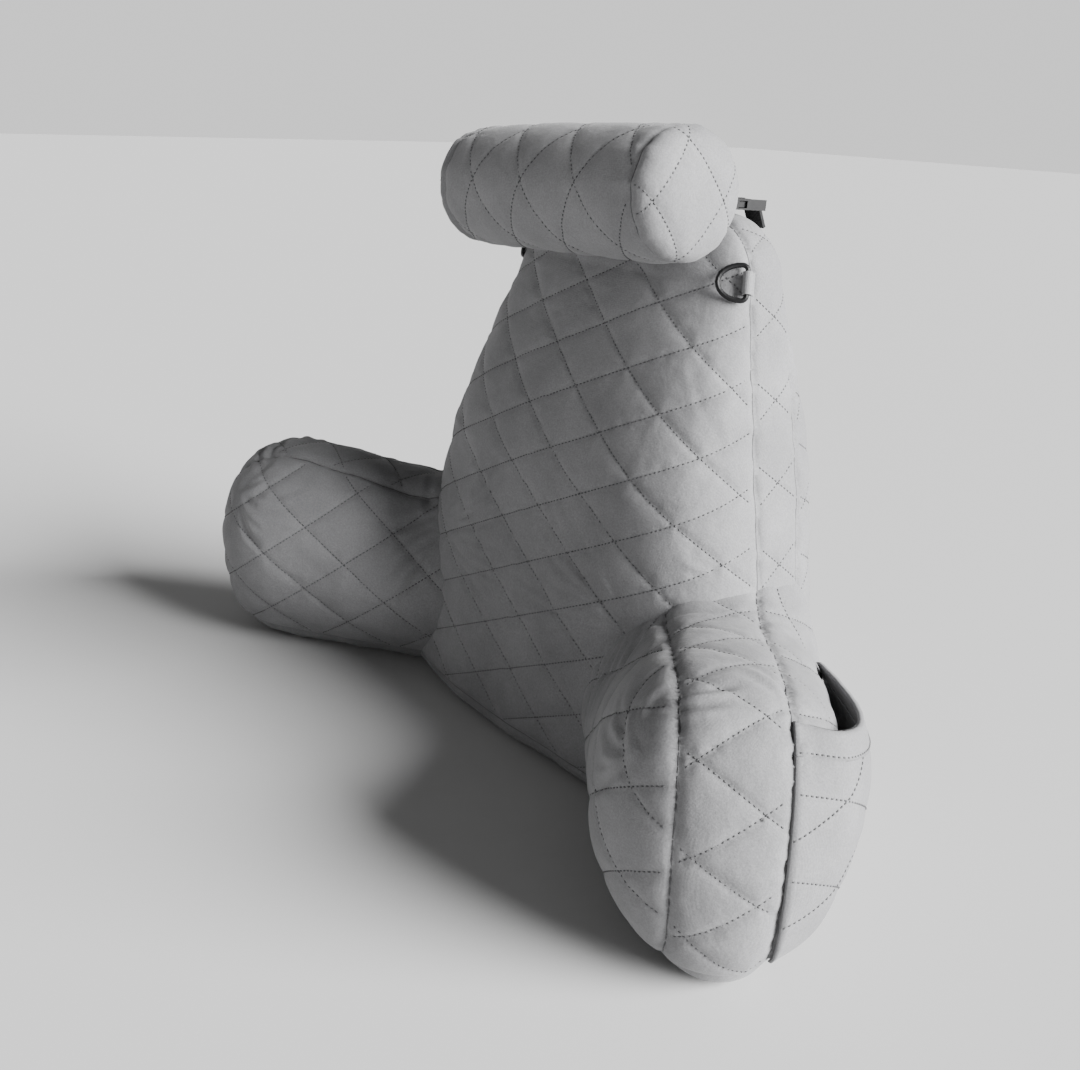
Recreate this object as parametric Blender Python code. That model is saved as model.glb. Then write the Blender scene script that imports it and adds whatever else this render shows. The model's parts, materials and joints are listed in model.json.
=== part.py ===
"""Backrest cushion with two splayed arms and a buckled neck roll.

Every soft piece is a sewn cover panel or the stuffing inside it. The backrest stands at
the origin on the floor, its front towards -Y, its arms splaying forward to -X and +X.
Lengths are metres and +Z is up.
"""

import math

import bmesh
import bpy
from mathutils import Matrix, Vector

# Clearances
GAP = 0.0003  # between neighbouring pieces
SURFACE_REST = 0.0008  # below a piece that lies on a curved cover
FILL_GAP = 0.001  # between a cover and its stuffing
BAR_CLEARANCE = 0.0005  # between a bar and the loop folded round it
ARM_SEAM_GAP = 0.001  # between the backrest's cover and an arm's root

# Cover
COVER_THICKNESS = 0.004
BASE_RISE = 0.018  # height to which the base panels turn up at their edges
UNDER_RADIUS = 0.030  # rounding below the backrest's sides

# Backrest
BACKREST_HEIGHT = 0.510
BOTTOM_HALF_WIDTH = 0.268
TOP_HALF_WIDTH = 0.140
HALF_DEPTH = 0.113
TAPER_HEIGHT = 0.280  # above it the backrest gets thinner
TAPER_POWER = 1.3  # 1 is a straight taper, more keeps it thick for longer
TOP_EDGE_HALF = 0.0015  # half thickness that is left at the very top
TOP_RADIUS = 0.056  # rounding over the top, front to back
CORNER_RADIUS = 0.050  # rounding of the top corners, seen from the front
BASE_CENTRE_Y = -0.010  # middle of the backrest's depth at the floor
LEAN = 0.090  # backward lean, metres per metre of height
SECTION_POWER = 3.0  # 2 is an ellipse, more is boxier
SECTION_HEIGHTS = (0.12, 0.20, 0.34, 0.40)  # heights of the middle sections
BOXING_FRONT = 0.014  # front seam, forward of the middle of the depth
BOXING_BACK = 0.038  # back seam, behind it

# Arms
ARM_LENGTH = 0.320
ARM_SPLAY = math.radians(51.0)  # from straight ahead
ARM_ROOT_X = 0.160
ARM_ROOT_Y = -0.012
ARM_ROOT_INSIDE = 0.060  # how far the arm's rounded rear end reaches into the backrest
ARM_HALF_WIDTH_ROOT = 0.104
ARM_HALF_WIDTH_END = 0.090
ARM_HEIGHT_ROOT = 0.186
ARM_HEIGHT_END = 0.234
ARM_END_ROUND = 0.105
ARM_REAR_ROUND = 0.100
ARM_FLARE = 0.054  # extra height where the arm's top is sewn to the backrest
ARM_FLARE_LENGTH = 0.095
ARM_UPPER_POWER = 2.4
ARM_LOWER_POWER = 2.0
ARM_END_POWER = 2.4  # rounding of the arm's end seen from above
ARM_REAR_POWER = 2.2
ARM_END_TOP_POWER = 2.3  # rounding of the end's upper and lower halves seen from the side
ARM_END_UNDER_POWER = 3.6
ARM_WIDEST = 0.45  # height of the widest line, as a share of the arm's height
ARM_SINK = 0.004  # how far the round underside is pressed flat
GUSSET_WIDTH = 0.078

# Pocket on each arm's outer side
POCKET_START = 0.075  # along the arm
POCKET_TOP = 0.160
POCKET_MOUTH = 0.016  # how far the mouth gapes
POCKET_SHUT = 0.25  # share of the pocket's height that stays against the arm
MOUTH_ACROSS_POWER = 0.7  # less opens the mouth nearer its ends
MOUTH_UP_POWER = 1.4
POCKET_COLUMN_POWER = 1.5  # crowds the mesh towards the pocket's rounded front
POCKET_THICKNESS = 0.003
HEM_HEIGHT = 0.016
HEM_THICKNESS = 0.0045
POCKET_FRONT_MARGIN = 0.003
POCKET_REST = 0.0022  # between the pocket's sewn edges and the arm's rounded side

# Neck roll
ROLL_RADIUS = 0.054
ROLL_LENGTH = 0.322
ROLL_RISE = 0.010  # its axis above the backrest's top
ROLL_DOME = 0.026  # how far each end cap swells past its seam
DOME_POWER = 2.2
ROLL_REST_GAP = 0.001

# Straps and side-release buckles
STRAP_X = 0.098
WEBBING_WIDTH = 0.019
WEBBING_LAYER = 0.0014
HINGE_STANDOFF = 0.012  # bar above the top rounding
HINGE_LEAN = math.radians(27)  # bar behind straight up from the rounding's centre
BAR_RADIUS = 0.0016
SLOT_LENGTH = 0.0095
SOCKET_LENGTH = 0.024
SOCKET_HALF_WIDTH = 0.0145
SOCKET_HALF_THICKNESS = 0.0045
SOCKET_WALL = 0.0015
CHEEK_WIDTH = 0.003
PRONG_LENGTH = 0.020
PRONG_WIDTH = 0.0035
PRONG_END_CLEARANCE = 0.001  # past the prongs' tips
PRONG_SIDE_CLEARANCE = 0.0006
PRONG_FLAT_CLEARANCE = 0.0005
TONGUE_HALF_WIDTH = 0.0025
TONGUE_SHORTER = 0.004  # than the prongs
SIDE_WINDOW_START = 0.006  # behind the prongs' tips
SIDE_WINDOW_LENGTH = 0.010
SIDE_WINDOW_INSIDE = 0.006  # from the buckle's middle plane
PLUG_THINNER = 0.0005  # than the socket, on each face
UNION_OVERLAP = 0.001  # how far joined pieces of one moulding run into each other
PLUG_BASE_LENGTH = 0.007
PLUG_SLOT_LENGTH = 0.0065

# D-rings
RING_HEIGHT = 0.034
RING_DEPTH = 0.029
RING_WIRE_RADIUS = 0.0022
RING_CORNER = 0.0045
RING_BELOW_TOP = 0.055  # middle of the ring below the backrest's top
RING_Z = BACKREST_HEIGHT - RING_BELOW_TOP
RING_FROM_SEAM = 0.006
RING_CLEARANCE = 0.00058  # between the wire and the cover's bulge under it
TAB_WIDTH = 0.019

# Zip in the back panel
ZIP_BOTTOM = 0.050
ZIP_LENGTH = 0.210
ZIP_TAPE_WIDTH = 0.013
ZIP_TAPE_THICKNESS = 0.0009
ZIP_COIL_HALF_WIDTH = 0.0024
ZIP_COIL_THICKNESS = 0.0018
ZIP_COIL_END = 0.003  # from each end of the tapes to the coil
SLIDER_FROM_TOP = 0.004
SLIDER_LENGTH = 0.011
SLIDER_HALF_WIDTH = 0.0046
SLIDER_PLATE = 0.0012
PULL_LENGTH = 0.024
PULL_HALF_WIDTH = 0.0028
PULL_THICKNESS = 0.0012
PULL_EYE_RADIUS = 0.0024
PULL_PIN_RADIUS = 0.0007
LUG_WALL = 0.0008  # round the pin
PIN_INSET = 0.0005  # of the pin's ends in the lugs

# Mesh resolution
SECTION_POINTS = 36
ARM_POINTS = 24
ROLL_POINTS = 32

SIDES = {"left": -1, "right": 1}


def make_material(name, colour, roughness, metallic=0.0):
    made = bpy.data.materials.new(name)
    made.use_nodes = True
    shader = made.node_tree.nodes["Principled BSDF"]
    shader.inputs["Base Color"].default_value = (*colour, 1.0)
    shader.inputs["Roughness"].default_value = roughness
    shader.inputs["Metallic"].default_value = metallic
    made.diffuse_color = (*colour, 1.0)
    return made


def add_object(name, data, finish=None, frame=None, parent=None):
    """Links a new object. The frame is its place in the world, and stays its matrix_basis."""
    made = bpy.data.objects.new(name, data)
    bpy.context.scene.collection.objects.link(made)
    if finish:
        data.materials.append(finish)
    if frame:
        made.matrix_basis = frame
    if parent:
        made.parent = parent
        made.matrix_parent_inverse = parent.matrix_basis.inverted()
    return made


def add_empty(name, frame, parent=None):
    return add_object(name, None, frame=frame, parent=parent)


def mesh_from(name, build):
    """A closed mesh with its faces pointing out. build fills a bmesh."""
    shape = bmesh.new()
    build(shape)
    bmesh.ops.recalc_face_normals(shape, faces=shape.faces)
    mesh = bpy.data.meshes.new(name)
    shape.to_mesh(mesh)
    shape.free()
    mesh.shade_smooth()
    mesh.set_sharp_from_angle(angle=math.radians(35))
    return mesh


def loft_mesh(name, rings):
    """Rings of equal length, joined by faces and closed by a flat face at each end."""

    def build(shape):
        rows = [[shape.verts.new(point) for point in ring] for ring in rings]
        for lower, upper in zip(rows, rows[1:]):
            for i in range(len(lower)):
                j = (i + 1) % len(lower)
                shape.faces.new((lower[i], lower[j], upper[j], upper[i]))
        shape.faces.new(rows[0])
        shape.faces.new(rows[-1])

    return mesh_from(name, build)


def turned_mesh(name, profile, points, closed=False):
    """A profile of (x, radius) turned about X. An open one starts and ends on the axis."""

    def build(shape):
        rows = []
        for x, radius in profile:
            if radius < 1e-6:
                rows.append([shape.verts.new((x, 0, 0))] * points)
                continue
            turns = [2 * math.pi * i / points for i in range(points)]
            rows.append([shape.verts.new((x, radius * math.cos(t), radius * math.sin(t))) for t in turns])
        pairs = list(zip(rows, rows[1:]))
        if closed:
            pairs.append((rows[-1], rows[0]))
        for lower, upper in pairs:
            for i in range(points):
                j = (i + 1) % points
                corners = dict.fromkeys((lower[i], lower[j], upper[j], upper[i]))
                if len(corners) > 2:
                    shape.faces.new(tuple(corners))

    return mesh_from(name, build)


def sheet_mesh(name, inner, outer):
    """A closed sheet between two grids of points of the same shape."""

    def build(shape):
        grids = [[[shape.verts.new(p) for p in row] for row in grid] for grid in (inner, outer)]
        rows, columns = len(inner), len(inner[0])
        for grid in grids:
            for i in range(rows - 1):
                for j in range(columns - 1):
                    shape.faces.new((grid[i][j], grid[i][j + 1], grid[i + 1][j + 1], grid[i + 1][j]))
        rim = [(0, j) for j in range(columns)] + [(i, columns - 1) for i in range(1, rows)]
        rim += [(rows - 1, j) for j in range(columns - 2, -1, -1)]
        rim += [(i, 0) for i in range(rows - 2, 0, -1)]
        for (a, b), (c, d) in zip(rim, rim[1:] + rim[:1]):
            shape.faces.new((grids[0][a][b], grids[0][c][d], grids[1][c][d], grids[1][a][b]))

    return mesh_from(name, build)


def box_mesh(name, boxes):
    """One or more boxes, each given by its low and high corners, as separate shells."""

    def build(shape):
        for low, high in boxes:
            made = bmesh.ops.create_cube(shape, size=1.0)["verts"]
            size = [b - a for a, b in zip(low, high)]
            middle = [(a + b) / 2 for a, b in zip(low, high)]
            bmesh.ops.scale(shape, vec=size, verts=made)
            bmesh.ops.translate(shape, vec=middle, verts=made)

    return mesh_from(name, build)


def rod_mesh(name, radius, low, high, points=12, axis="Z"):
    """A rod along one of its own axes."""
    turn = {"X": Matrix.Rotation(math.pi / 2, 4, "Y"), "Y": Matrix.Rotation(math.pi / 2, 4, "X")}

    def build(shape):
        made = bmesh.ops.create_cone(
            shape, cap_ends=True, segments=points, radius1=radius, radius2=radius, depth=high - low
        )["verts"]
        bmesh.ops.translate(shape, vec=(0, 0, (low + high) / 2), verts=made)
        if axis == "Y":
            bmesh.ops.scale(shape, vec=(1, 1, -1), verts=made)
        bmesh.ops.transform(shape, matrix=turn.get(axis, Matrix.Identity(4)), verts=made)

    return mesh_from(name, build)


def add_cutter(name, mesh, frame=None):
    made = add_object(name, mesh, frame=frame)
    made.hide_render = True
    made.display_type = "WIRE"
    return made


def add_boolean(obj, operation, other, solver="EXACT"):
    step = obj.modifiers.new(f"{operation.lower()} {other.name}", "BOOLEAN")
    step.operation = operation
    step.object = other
    step.solver = solver


# The backrest's surface


def superellipse(angle, half_x, half_y, power):
    c, s = math.cos(angle), math.sin(angle)
    return (
        half_x * math.copysign(abs(c) ** (2 / power), c),
        half_y * math.copysign(abs(s) ** (2 / power), s),
    )


def rounded_edge(radius, inset, distance):
    """How far an edge of this radius stands in, at this distance past the arc's start."""
    return radius - math.sqrt(max((radius - inset) ** 2 - distance**2, 0.0))


def half_width(z, inset=0.0):
    width = BOTTOM_HALF_WIDTH + (TOP_HALF_WIDTH - BOTTOM_HALF_WIDTH) * z / BACKREST_HEIGHT
    if z > BACKREST_HEIGHT - CORNER_RADIUS:
        return width - rounded_edge(CORNER_RADIUS, inset, z - BACKREST_HEIGHT + CORNER_RADIUS)
    if z < UNDER_RADIUS:
        return width - rounded_edge(UNDER_RADIUS, inset, UNDER_RADIUS - z)
    return width - inset


def half_depth(z, inset=0.0):
    top = BACKREST_HEIGHT - TOP_RADIUS
    if z > top:
        return max(TOP_RADIUS - rounded_edge(TOP_RADIUS, inset, z - top), TOP_EDGE_HALF)
    share = min(max((z - TAPER_HEIGHT) / (top - TAPER_HEIGHT), 0.0), 1.0)
    depth = HALF_DEPTH + (TOP_RADIUS - HALF_DEPTH) * share**TAPER_POWER
    if z < UNDER_RADIUS:
        return depth - rounded_edge(UNDER_RADIUS, inset, UNDER_RADIUS - z)
    return depth - inset


def centre_y(z):
    return BASE_CENTRE_Y + LEAN * z


def backrest_heights(inset):
    bottom = [UNDER_RADIUS - (UNDER_RADIUS - inset) * math.cos(math.pi / 2 * i / 3) for i in range(3)]
    top = BACKREST_HEIGHT - TOP_RADIUS
    middle = sorted([UNDER_RADIUS, TAPER_HEIGHT, *SECTION_HEIGHTS])
    over = [top + (TOP_RADIUS - inset) * math.sin(math.pi / 2 * i / 5) for i in range(6)]
    return bottom + [z for z in middle if z < top - 0.01] + over


def backrest_mesh(name, inset, skirt=0.0):
    """The backrest's shape, set in from its cover's outside. A skirt carries it on below the floor."""
    rings = []
    for z in backrest_heights(inset):
        ring = []
        for i in range(SECTION_POINTS):
            x, y = superellipse(
                2 * math.pi * i / SECTION_POINTS, half_width(z, inset), half_depth(z, inset), SECTION_POWER
            )
            ring.append((x, centre_y(z) + y, z))
        rings.append(ring)
    if skirt:
        rings.insert(0, [(x, y, -skirt) for x, y, _ in rings[0]])
    return loft_mesh(name, rings)


def depth_at(x, z):
    """Half depth of the backrest at a given place across it."""
    share = min(abs(x) / half_width(z), 1.0)
    return half_depth(z) * round_off(share, SECTION_POWER)


def top_z(x, y):
    """Height of the backrest's top surface above a point of its top."""
    low, high = BACKREST_HEIGHT - TOP_RADIUS, BACKREST_HEIGHT
    for _ in range(40):
        z = (low + high) / 2
        inside = depth_at(x, z) > abs(y - centre_y(z))
        low, high = (z, high) if inside else (low, z)
    return low


def cover_point(side, angle, z):
    """A point of the backrest's cover, where angle 0 is its side edge and 90 degrees its front."""
    x, y = superellipse(angle, half_width(z), half_depth(z), SECTION_POWER)
    return Vector((side * x, centre_y(z) - y, z))


def angle_past_seam(side, z, distance):
    """Angle of the cover point this far in front of the side seam, measured along the cover."""
    share = BOXING_FRONT / half_depth(z)
    angle = math.asin(share ** (SECTION_POWER / 2))
    point, step = cover_point(side, angle, z), math.radians(0.1)
    while distance > 0:
        angle += step
        after = cover_point(side, angle, z)
        distance -= (after - point).length
        point = after
    return angle


# The arms' surface


def blend(a, b, share):
    return a + (b - a) * min(max(share, 0.0), 1.0)


def round_off(share, power):
    """Falls from 1 to 0 along a quarter of a superellipse, as share goes from 0 to 1."""
    return (1 - share**power) ** (1 / power)


def arm_section(s, inset=0.0):
    """Half width, lowest and highest point of an arm at this distance along it."""
    share = s / ARM_LENGTH
    width = blend(ARM_HALF_WIDTH_ROOT, ARM_HALF_WIDTH_END, share) - inset
    flare = ARM_FLARE * min(max(1 - s / ARM_FLARE_LENGTH, 0.0), 1.0) ** 2
    height = blend(ARM_HEIGHT_ROOT, ARM_HEIGHT_END, share) + flare
    low, high = inset - ARM_SINK, height - inset
    end = ARM_LENGTH - inset
    q = min(max((s - ARM_LENGTH + ARM_END_ROUND) / (end - ARM_LENGTH + ARM_END_ROUND), 0.0), 1.0)
    rear = min(max((ARM_REAR_ROUND - ARM_ROOT_INSIDE - s) / ARM_REAR_ROUND, 0.0), 1.0)
    middle = ARM_WIDEST * (low + high)
    return (
        width * round_off(q, ARM_END_POWER) * round_off(rear, ARM_REAR_POWER),
        middle + (low - middle) * round_off(q, ARM_END_UNDER_POWER),
        middle + (high - middle) * round_off(q, ARM_END_TOP_POWER),
    )


def arm_stations(inset):
    start = ARM_LENGTH - ARM_END_ROUND
    reach = ARM_END_ROUND - inset
    rear_middle = ARM_REAR_ROUND - ARM_ROOT_INSIDE
    rear = [rear_middle - ARM_REAR_ROUND * math.sin(math.radians(a)) for a in (75, 55, 30, 0)]
    body = rear + [ARM_FLARE_LENGTH * 0.65, ARM_FLARE_LENGTH, start]
    return body + [start + reach * math.sin(math.radians(a)) for a in (22, 40, 55, 68, 80)]


def arm_mesh(name, side, inset, floor):
    rings = []
    for s in arm_stations(inset):
        width, low, high = arm_section(s, inset)
        ring = []
        for i in range(ARM_POINTS):
            angle = 2 * math.pi * (i + 0.5) / ARM_POINTS
            power = ARM_UPPER_POWER if angle < math.pi else ARM_LOWER_POWER
            across, up = superellipse(angle, width, (high - low) / 2, power)
            ring.append((s, side * across, max((high + low) / 2 + up, floor)))
        rings.append(ring)
    return loft_mesh(name, rings)


def arm_side(s, z):
    """Distance of an arm's side from its middle plane at a given place and height."""
    width, low, high = arm_section(s)
    up = z - (high + low) / 2
    power = ARM_UPPER_POWER if up > 0 else ARM_LOWER_POWER
    share = abs(up) / ((high - low) / 2)
    return width * round_off(min(share, 1.0), power)


def pocket_front(z):
    """Where along the arm the outer seam passes this height, on the arm's front end."""
    low, high = ARM_LENGTH - ARM_END_ROUND, ARM_LENGTH
    for _ in range(40):
        s = (low + high) / 2
        wide = arm_side(s, z) > GUSSET_WIDTH / 2 + POCKET_FRONT_MARGIN
        low, high = (s, high) if wide else (low, s)
    return low


def arm_frame(side):
    turn = math.atan2(-math.cos(ARM_SPLAY), side * math.sin(ARM_SPLAY))
    return Matrix.Translation((side * ARM_ROOT_X, ARM_ROOT_Y, 0)) @ Matrix.Rotation(turn, 4, "Z")


# Builders


def build_backrest(finish, fill_finish):
    inner = add_cutter("backrest_inner", backrest_mesh("backrest_inner", COVER_THICKNESS))
    lean = Matrix.Translation((0, BASE_CENTRE_Y, 0)) @ Matrix.Rotation(-math.atan(LEAN), 4, "X")
    bottom = BASE_RISE + GAP
    # Each slab keeps the part of the cover between two seams.
    slabs = {
        "front_panel": (-0.5, -BOXING_FRONT - GAP / 2),
        "boxing_strip": (-BOXING_FRONT + GAP / 2, BOXING_BACK - GAP / 2),
        "back_panel": (BOXING_BACK + GAP / 2, 0.5),
    }
    above_base = add_cutter("above_base", box_mesh("above_base", [((-1, -1, bottom), (1, 1, 1))]))
    below = add_cutter("below_panels", box_mesh("below_panels", [((-1, -1, -0.1), (1, 1, BASE_RISE))]))
    for name, (low, high) in slabs.items():
        panel = add_object(name, backrest_mesh(name, 0.0), finish)
        add_boolean(panel, "DIFFERENCE", inner)
        slab = box_mesh(f"{name}_slab", [((-1, low, -0.2), (1, high, 1))])
        add_boolean(panel, "INTERSECT", add_cutter(f"{name}_slab", slab, lean))
        add_boolean(panel, "INTERSECT", above_base)
    base = add_object("base_panel", backrest_mesh("base_panel", 0.0), finish)
    add_boolean(base, "DIFFERENCE", inner)
    add_boolean(base, "INTERSECT", below)
    add_object("backrest_fill", backrest_mesh("backrest_fill", COVER_THICKNESS + FILL_GAP), fill_finish)


def build_arm(label, side, finish, fill_finish, backrest_cutter):
    """The arm's cover is cut with the MANIFOLD solver: EXACT drops whole panels here."""
    frame = arm_frame(side)
    inner = arm_mesh(f"arm_inner_{label}", side, COVER_THICKNESS, COVER_THICKNESS)
    inner = add_cutter(f"arm_inner_{label}", inner, frame)
    edge, bottom = GUSSET_WIDTH / 2, BASE_RISE + GAP
    low, high = sorted((side * (edge + GAP / 2), side * 0.5))
    slabs = {
        "inner_panel": ((-1, -high, bottom), (1, -low, 1)),
        "gusset": ((-1, -edge + GAP / 2, bottom), (1, edge - GAP / 2, 1)),
        "outer_panel": ((-1, low, bottom), (1, high, 1)),
        "base_panel": ((-1, -1, -0.1), (1, 1, BASE_RISE)),
    }
    for piece, corners in slabs.items():
        name = f"arm_{piece}_{label}"
        panel = add_object(name, arm_mesh(name, side, 0.0, 0.0), finish, frame)
        add_boolean(panel, "DIFFERENCE", inner, "MANIFOLD")
        slab = add_cutter(f"{name}_slab", box_mesh(f"{name}_slab", [corners]), frame)
        add_boolean(panel, "INTERSECT", slab, "MANIFOLD")
        add_boolean(panel, "DIFFERENCE", backrest_cutter, "MANIFOLD")
    name = f"arm_fill_{label}"
    inset = COVER_THICKNESS + FILL_GAP
    fill = add_object(name, arm_mesh(name, side, inset, inset), fill_finish, frame)
    add_boolean(fill, "DIFFERENCE", backrest_cutter, "MANIFOLD")


def pocket_gape(u, v):
    """How far the pocket stands off the arm: shut at its sewn edges, open at its mouth."""
    rise = max(v - POCKET_SHUT, 0.0) / (1 - POCKET_SHUT)
    return POCKET_MOUTH * math.sin(math.pi * u) ** MOUTH_ACROSS_POWER * rise**MOUTH_UP_POWER


def pocket_grid(side, z_low, z_high, offset, rows, columns=14):
    grid = []
    for i in range(rows + 1):
        z = z_low + (z_high - z_low) * i / rows
        v = (z - BASE_RISE) / (POCKET_TOP - BASE_RISE)
        front = pocket_front(z)
        row = []
        for j in range(columns + 1):
            u = 1 - (1 - j / columns) ** POCKET_COLUMN_POWER
            s = POCKET_START + (front - POCKET_START) * u
            out = arm_side(s, z) + POCKET_REST + pocket_gape(u, v) + offset
            row.append((s, side * out, z))
        grid.append(row)
    return grid


def build_pocket(label, side, finish, backrest_cutter):
    frame = arm_frame(side)
    hem_low = POCKET_TOP - HEM_HEIGHT
    spans = {
        "pocket_panel": (BASE_RISE + GAP, hem_low - GAP, POCKET_THICKNESS, 7),
        "pocket_hem": (hem_low, POCKET_TOP, HEM_THICKNESS, 1),
    }
    for piece, (low, high, thickness, rows) in spans.items():
        name = f"{piece}_{label}"
        inner = pocket_grid(side, low, high, 0.0, rows)
        outer = pocket_grid(side, low, high, thickness, rows)
        sheet = add_object(name, sheet_mesh(name, inner, outer), finish, frame)
        add_boolean(sheet, "DIFFERENCE", backrest_cutter, "MANIFOLD")


def roll_centre():
    """The neck roll's centre, where it just rests on the backrest's front."""
    reach = ROLL_RADIUS + ROLL_REST_GAP
    height = BACKREST_HEIGHT + ROLL_RISE
    nearest = 1.0
    for i in range(400):
        z = BACKREST_HEIGHT * i / 399
        if abs(z - height) < reach:
            front = centre_y(z) - half_depth(z)
            nearest = min(nearest, front - math.sqrt(reach**2 - (z - height) ** 2))
    return Vector((0, nearest, height))


def hinge_point():
    """The buckle bars' line, above and behind the rounding over the backrest's top."""
    top = BACKREST_HEIGHT - TOP_RADIUS
    reach = TOP_RADIUS + HINGE_STANDOFF
    return Vector((0, centre_y(top) + reach * math.sin(HINGE_LEAN), top + reach * math.cos(HINGE_LEAN)))


def strap_frame(x):
    """X points from the buckle bars to the neck roll, Y lies along the bars."""
    along = (roll_centre() - hinge_point()).normalized()
    across = Vector((1, 0, 0))
    frame = Matrix((along, across, along.cross(across))).transposed().to_4x4()
    frame.translation = hinge_point() + Vector((x, 0, 0))
    return frame


def dome_profile(radius, seam, dome, steps=5):
    """Points from the seam to the axis, over a swollen end."""
    points = []
    for i in range(1, steps + 1):
        share = math.sin(math.pi / 2 * i / steps)
        points.append((seam + dome * share, radius * round_off(min(share, 1.0), DOME_POWER)))
    return points


def build_neck_roll(finish, fill_finish, parent):
    frame = Matrix.Translation(roll_centre())
    seam = ROLL_LENGTH / 2 - ROLL_DOME
    inner_radius = ROLL_RADIUS - COVER_THICKNESS
    half = seam - GAP / 2
    tube = [(-half, ROLL_RADIUS), (half, ROLL_RADIUS), (half, inner_radius), (-half, inner_radius)]
    add_object("roll_tube", turned_mesh("roll_tube", tube, ROLL_POINTS, True), finish, frame, parent)
    start = seam + GAP / 2
    outer = [(start, ROLL_RADIUS)] + dome_profile(ROLL_RADIUS, start, ROLL_DOME)
    inner = [(start, inner_radius)] + dome_profile(inner_radius, start, ROLL_DOME - COVER_THICKNESS)
    for label, side in SIDES.items():
        name = f"roll_end_{label}"
        profile = [(side * x, r) for x, r in outer + inner[::-1]]
        add_object(name, turned_mesh(name, profile, ROLL_POINTS, True), finish, frame, parent)
    core = inner_radius - FILL_GAP
    half_core = [(0.0, core), (start, core)]
    half_core += dome_profile(core, start, ROLL_DOME - COVER_THICKNESS - FILL_GAP)
    profile = [(-x, r) for x, r in half_core[::-1]] + half_core[1:]
    add_object("roll_fill", turned_mesh("roll_fill", profile, ROLL_POINTS), fill_finish, frame, parent)


def add_loop(name, hole, tail, width, finish, frame, parent=None, points=16):
    """A webbing loop folded round a bar at its origin. Its tail runs along X, its width along Y."""
    radius = hole + WEBBING_LAYER
    start = math.asin(WEBBING_LAYER / radius)
    turns = [start + (2 * math.pi - 2 * start) * i / points for i in range(points + 1)]
    outline = [(radius * math.cos(t), radius * math.sin(t)) for t in turns]
    outline += [(tail, -WEBBING_LAYER), (tail, WEBBING_LAYER)]
    rings = [[(x, y, z) for x, z in outline] for y in (-width / 2, width / 2)]
    loop = add_object(name, loft_mesh(name, rings), finish, frame, parent)
    bore = add_cutter(f"{name}_bore", rod_mesh(f"{name}_bore", hole, -width, width, axis="Y"), frame)
    add_boolean(loop, "DIFFERENCE", bore)


def build_socket(label, x, finish, parent):
    """The buckle half that the straps' anchors hold, open towards the neck roll."""
    frame = strap_frame(x)
    name = f"buckle_socket_{label}"
    end = SLOT_LENGTH + SOCKET_LENGTH
    width, thick = SOCKET_HALF_WIDTH, SOCKET_HALF_THICKNESS
    back = BAR_RADIUS * 2
    block = box_mesh(name, [((-back, -width, -thick), (end, width, thick))])
    socket = add_object(name, block, finish, frame, parent)
    open_y = width - CHEEK_WIDTH
    cavity_y = width - SOCKET_WALL
    cavity_z = thick - SOCKET_WALL
    window = ((-1, -open_y, -1), (SLOT_LENGTH, open_y, 1))
    cavity_end = end - PRONG_LENGTH - PRONG_END_CLEARANCE
    cavity = ((cavity_end, -cavity_y, -cavity_z), (end + 1, cavity_y, cavity_z))
    side_low = end - PRONG_LENGTH + SIDE_WINDOW_START
    side_high = side_low + SIDE_WINDOW_LENGTH
    sides = []
    for low, high in ((-1, -SIDE_WINDOW_INSIDE), (SIDE_WINDOW_INSIDE, 1)):
        sides.append(((side_low, low, -cavity_z), (side_high, high, cavity_z)))
    for i, corners in enumerate([window, cavity, *sides]):
        cutter = box_mesh(f"{name}_cut_{i}", [corners])
        add_boolean(socket, "DIFFERENCE", add_cutter(f"{name}_cut_{i}", cutter, frame))
    reach = open_y + UNION_OVERLAP
    rod = rod_mesh(f"{name}_bar", BAR_RADIUS, -reach, reach, axis="Y")
    add_boolean(socket, "UNION", add_cutter(f"{name}_bar", rod, frame))


def build_plug(label, x, finish, parent):
    """The buckle half on the neck roll's strap: a base with a bar, a tongue and two prongs."""
    frame = strap_frame(x)
    name = f"buckle_plug_{label}"
    mouth = SLOT_LENGTH + SOCKET_LENGTH + GAP
    width, thick = SOCKET_HALF_WIDTH, SOCKET_HALF_THICKNESS - PLUG_THINNER
    bar_x = plug_bar_x()
    end = bar_x + BAR_RADIUS * 2
    plug = add_object(
        name, box_mesh(name, [((mouth, -width, -thick), (end, width, thick))]), finish, frame, parent
    )
    open_y = width - CHEEK_WIDTH
    window = box_mesh(f"{name}_window", [((mouth + PLUG_BASE_LENGTH, -open_y, -1), (end + 1, open_y, 1))])
    add_boolean(plug, "DIFFERENCE", add_cutter(f"{name}_window", window, frame))
    outer = width - SOCKET_WALL - PRONG_SIDE_CLEARANCE
    inner = outer - PRONG_WIDTH
    flat = SOCKET_HALF_THICKNESS - SOCKET_WALL - PRONG_FLAT_CLEARANCE
    tip, root = mouth - PRONG_LENGTH, mouth + UNION_OVERLAP
    pieces = [
        ((tip + TONGUE_SHORTER, -TONGUE_HALF_WIDTH, -flat), (root, TONGUE_HALF_WIDTH, flat)),
        ((tip, inner, -flat), (root, outer, flat)),
        ((tip, -outer, -flat), (root, -inner, flat)),
    ]
    for i, corners in enumerate(pieces):
        prong = add_cutter(f"{name}_prong_{i}", box_mesh(f"{name}_prong_{i}", [corners]), frame)
        add_boolean(plug, "UNION", prong)
    reach = open_y + UNION_OVERLAP
    rod = rod_mesh(f"{name}_bar", BAR_RADIUS, -reach, reach, axis="Y")
    rod_frame = frame @ Matrix.Translation((bar_x, 0, 0))
    add_boolean(plug, "UNION", add_cutter(f"{name}_bar", rod, rod_frame))


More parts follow.
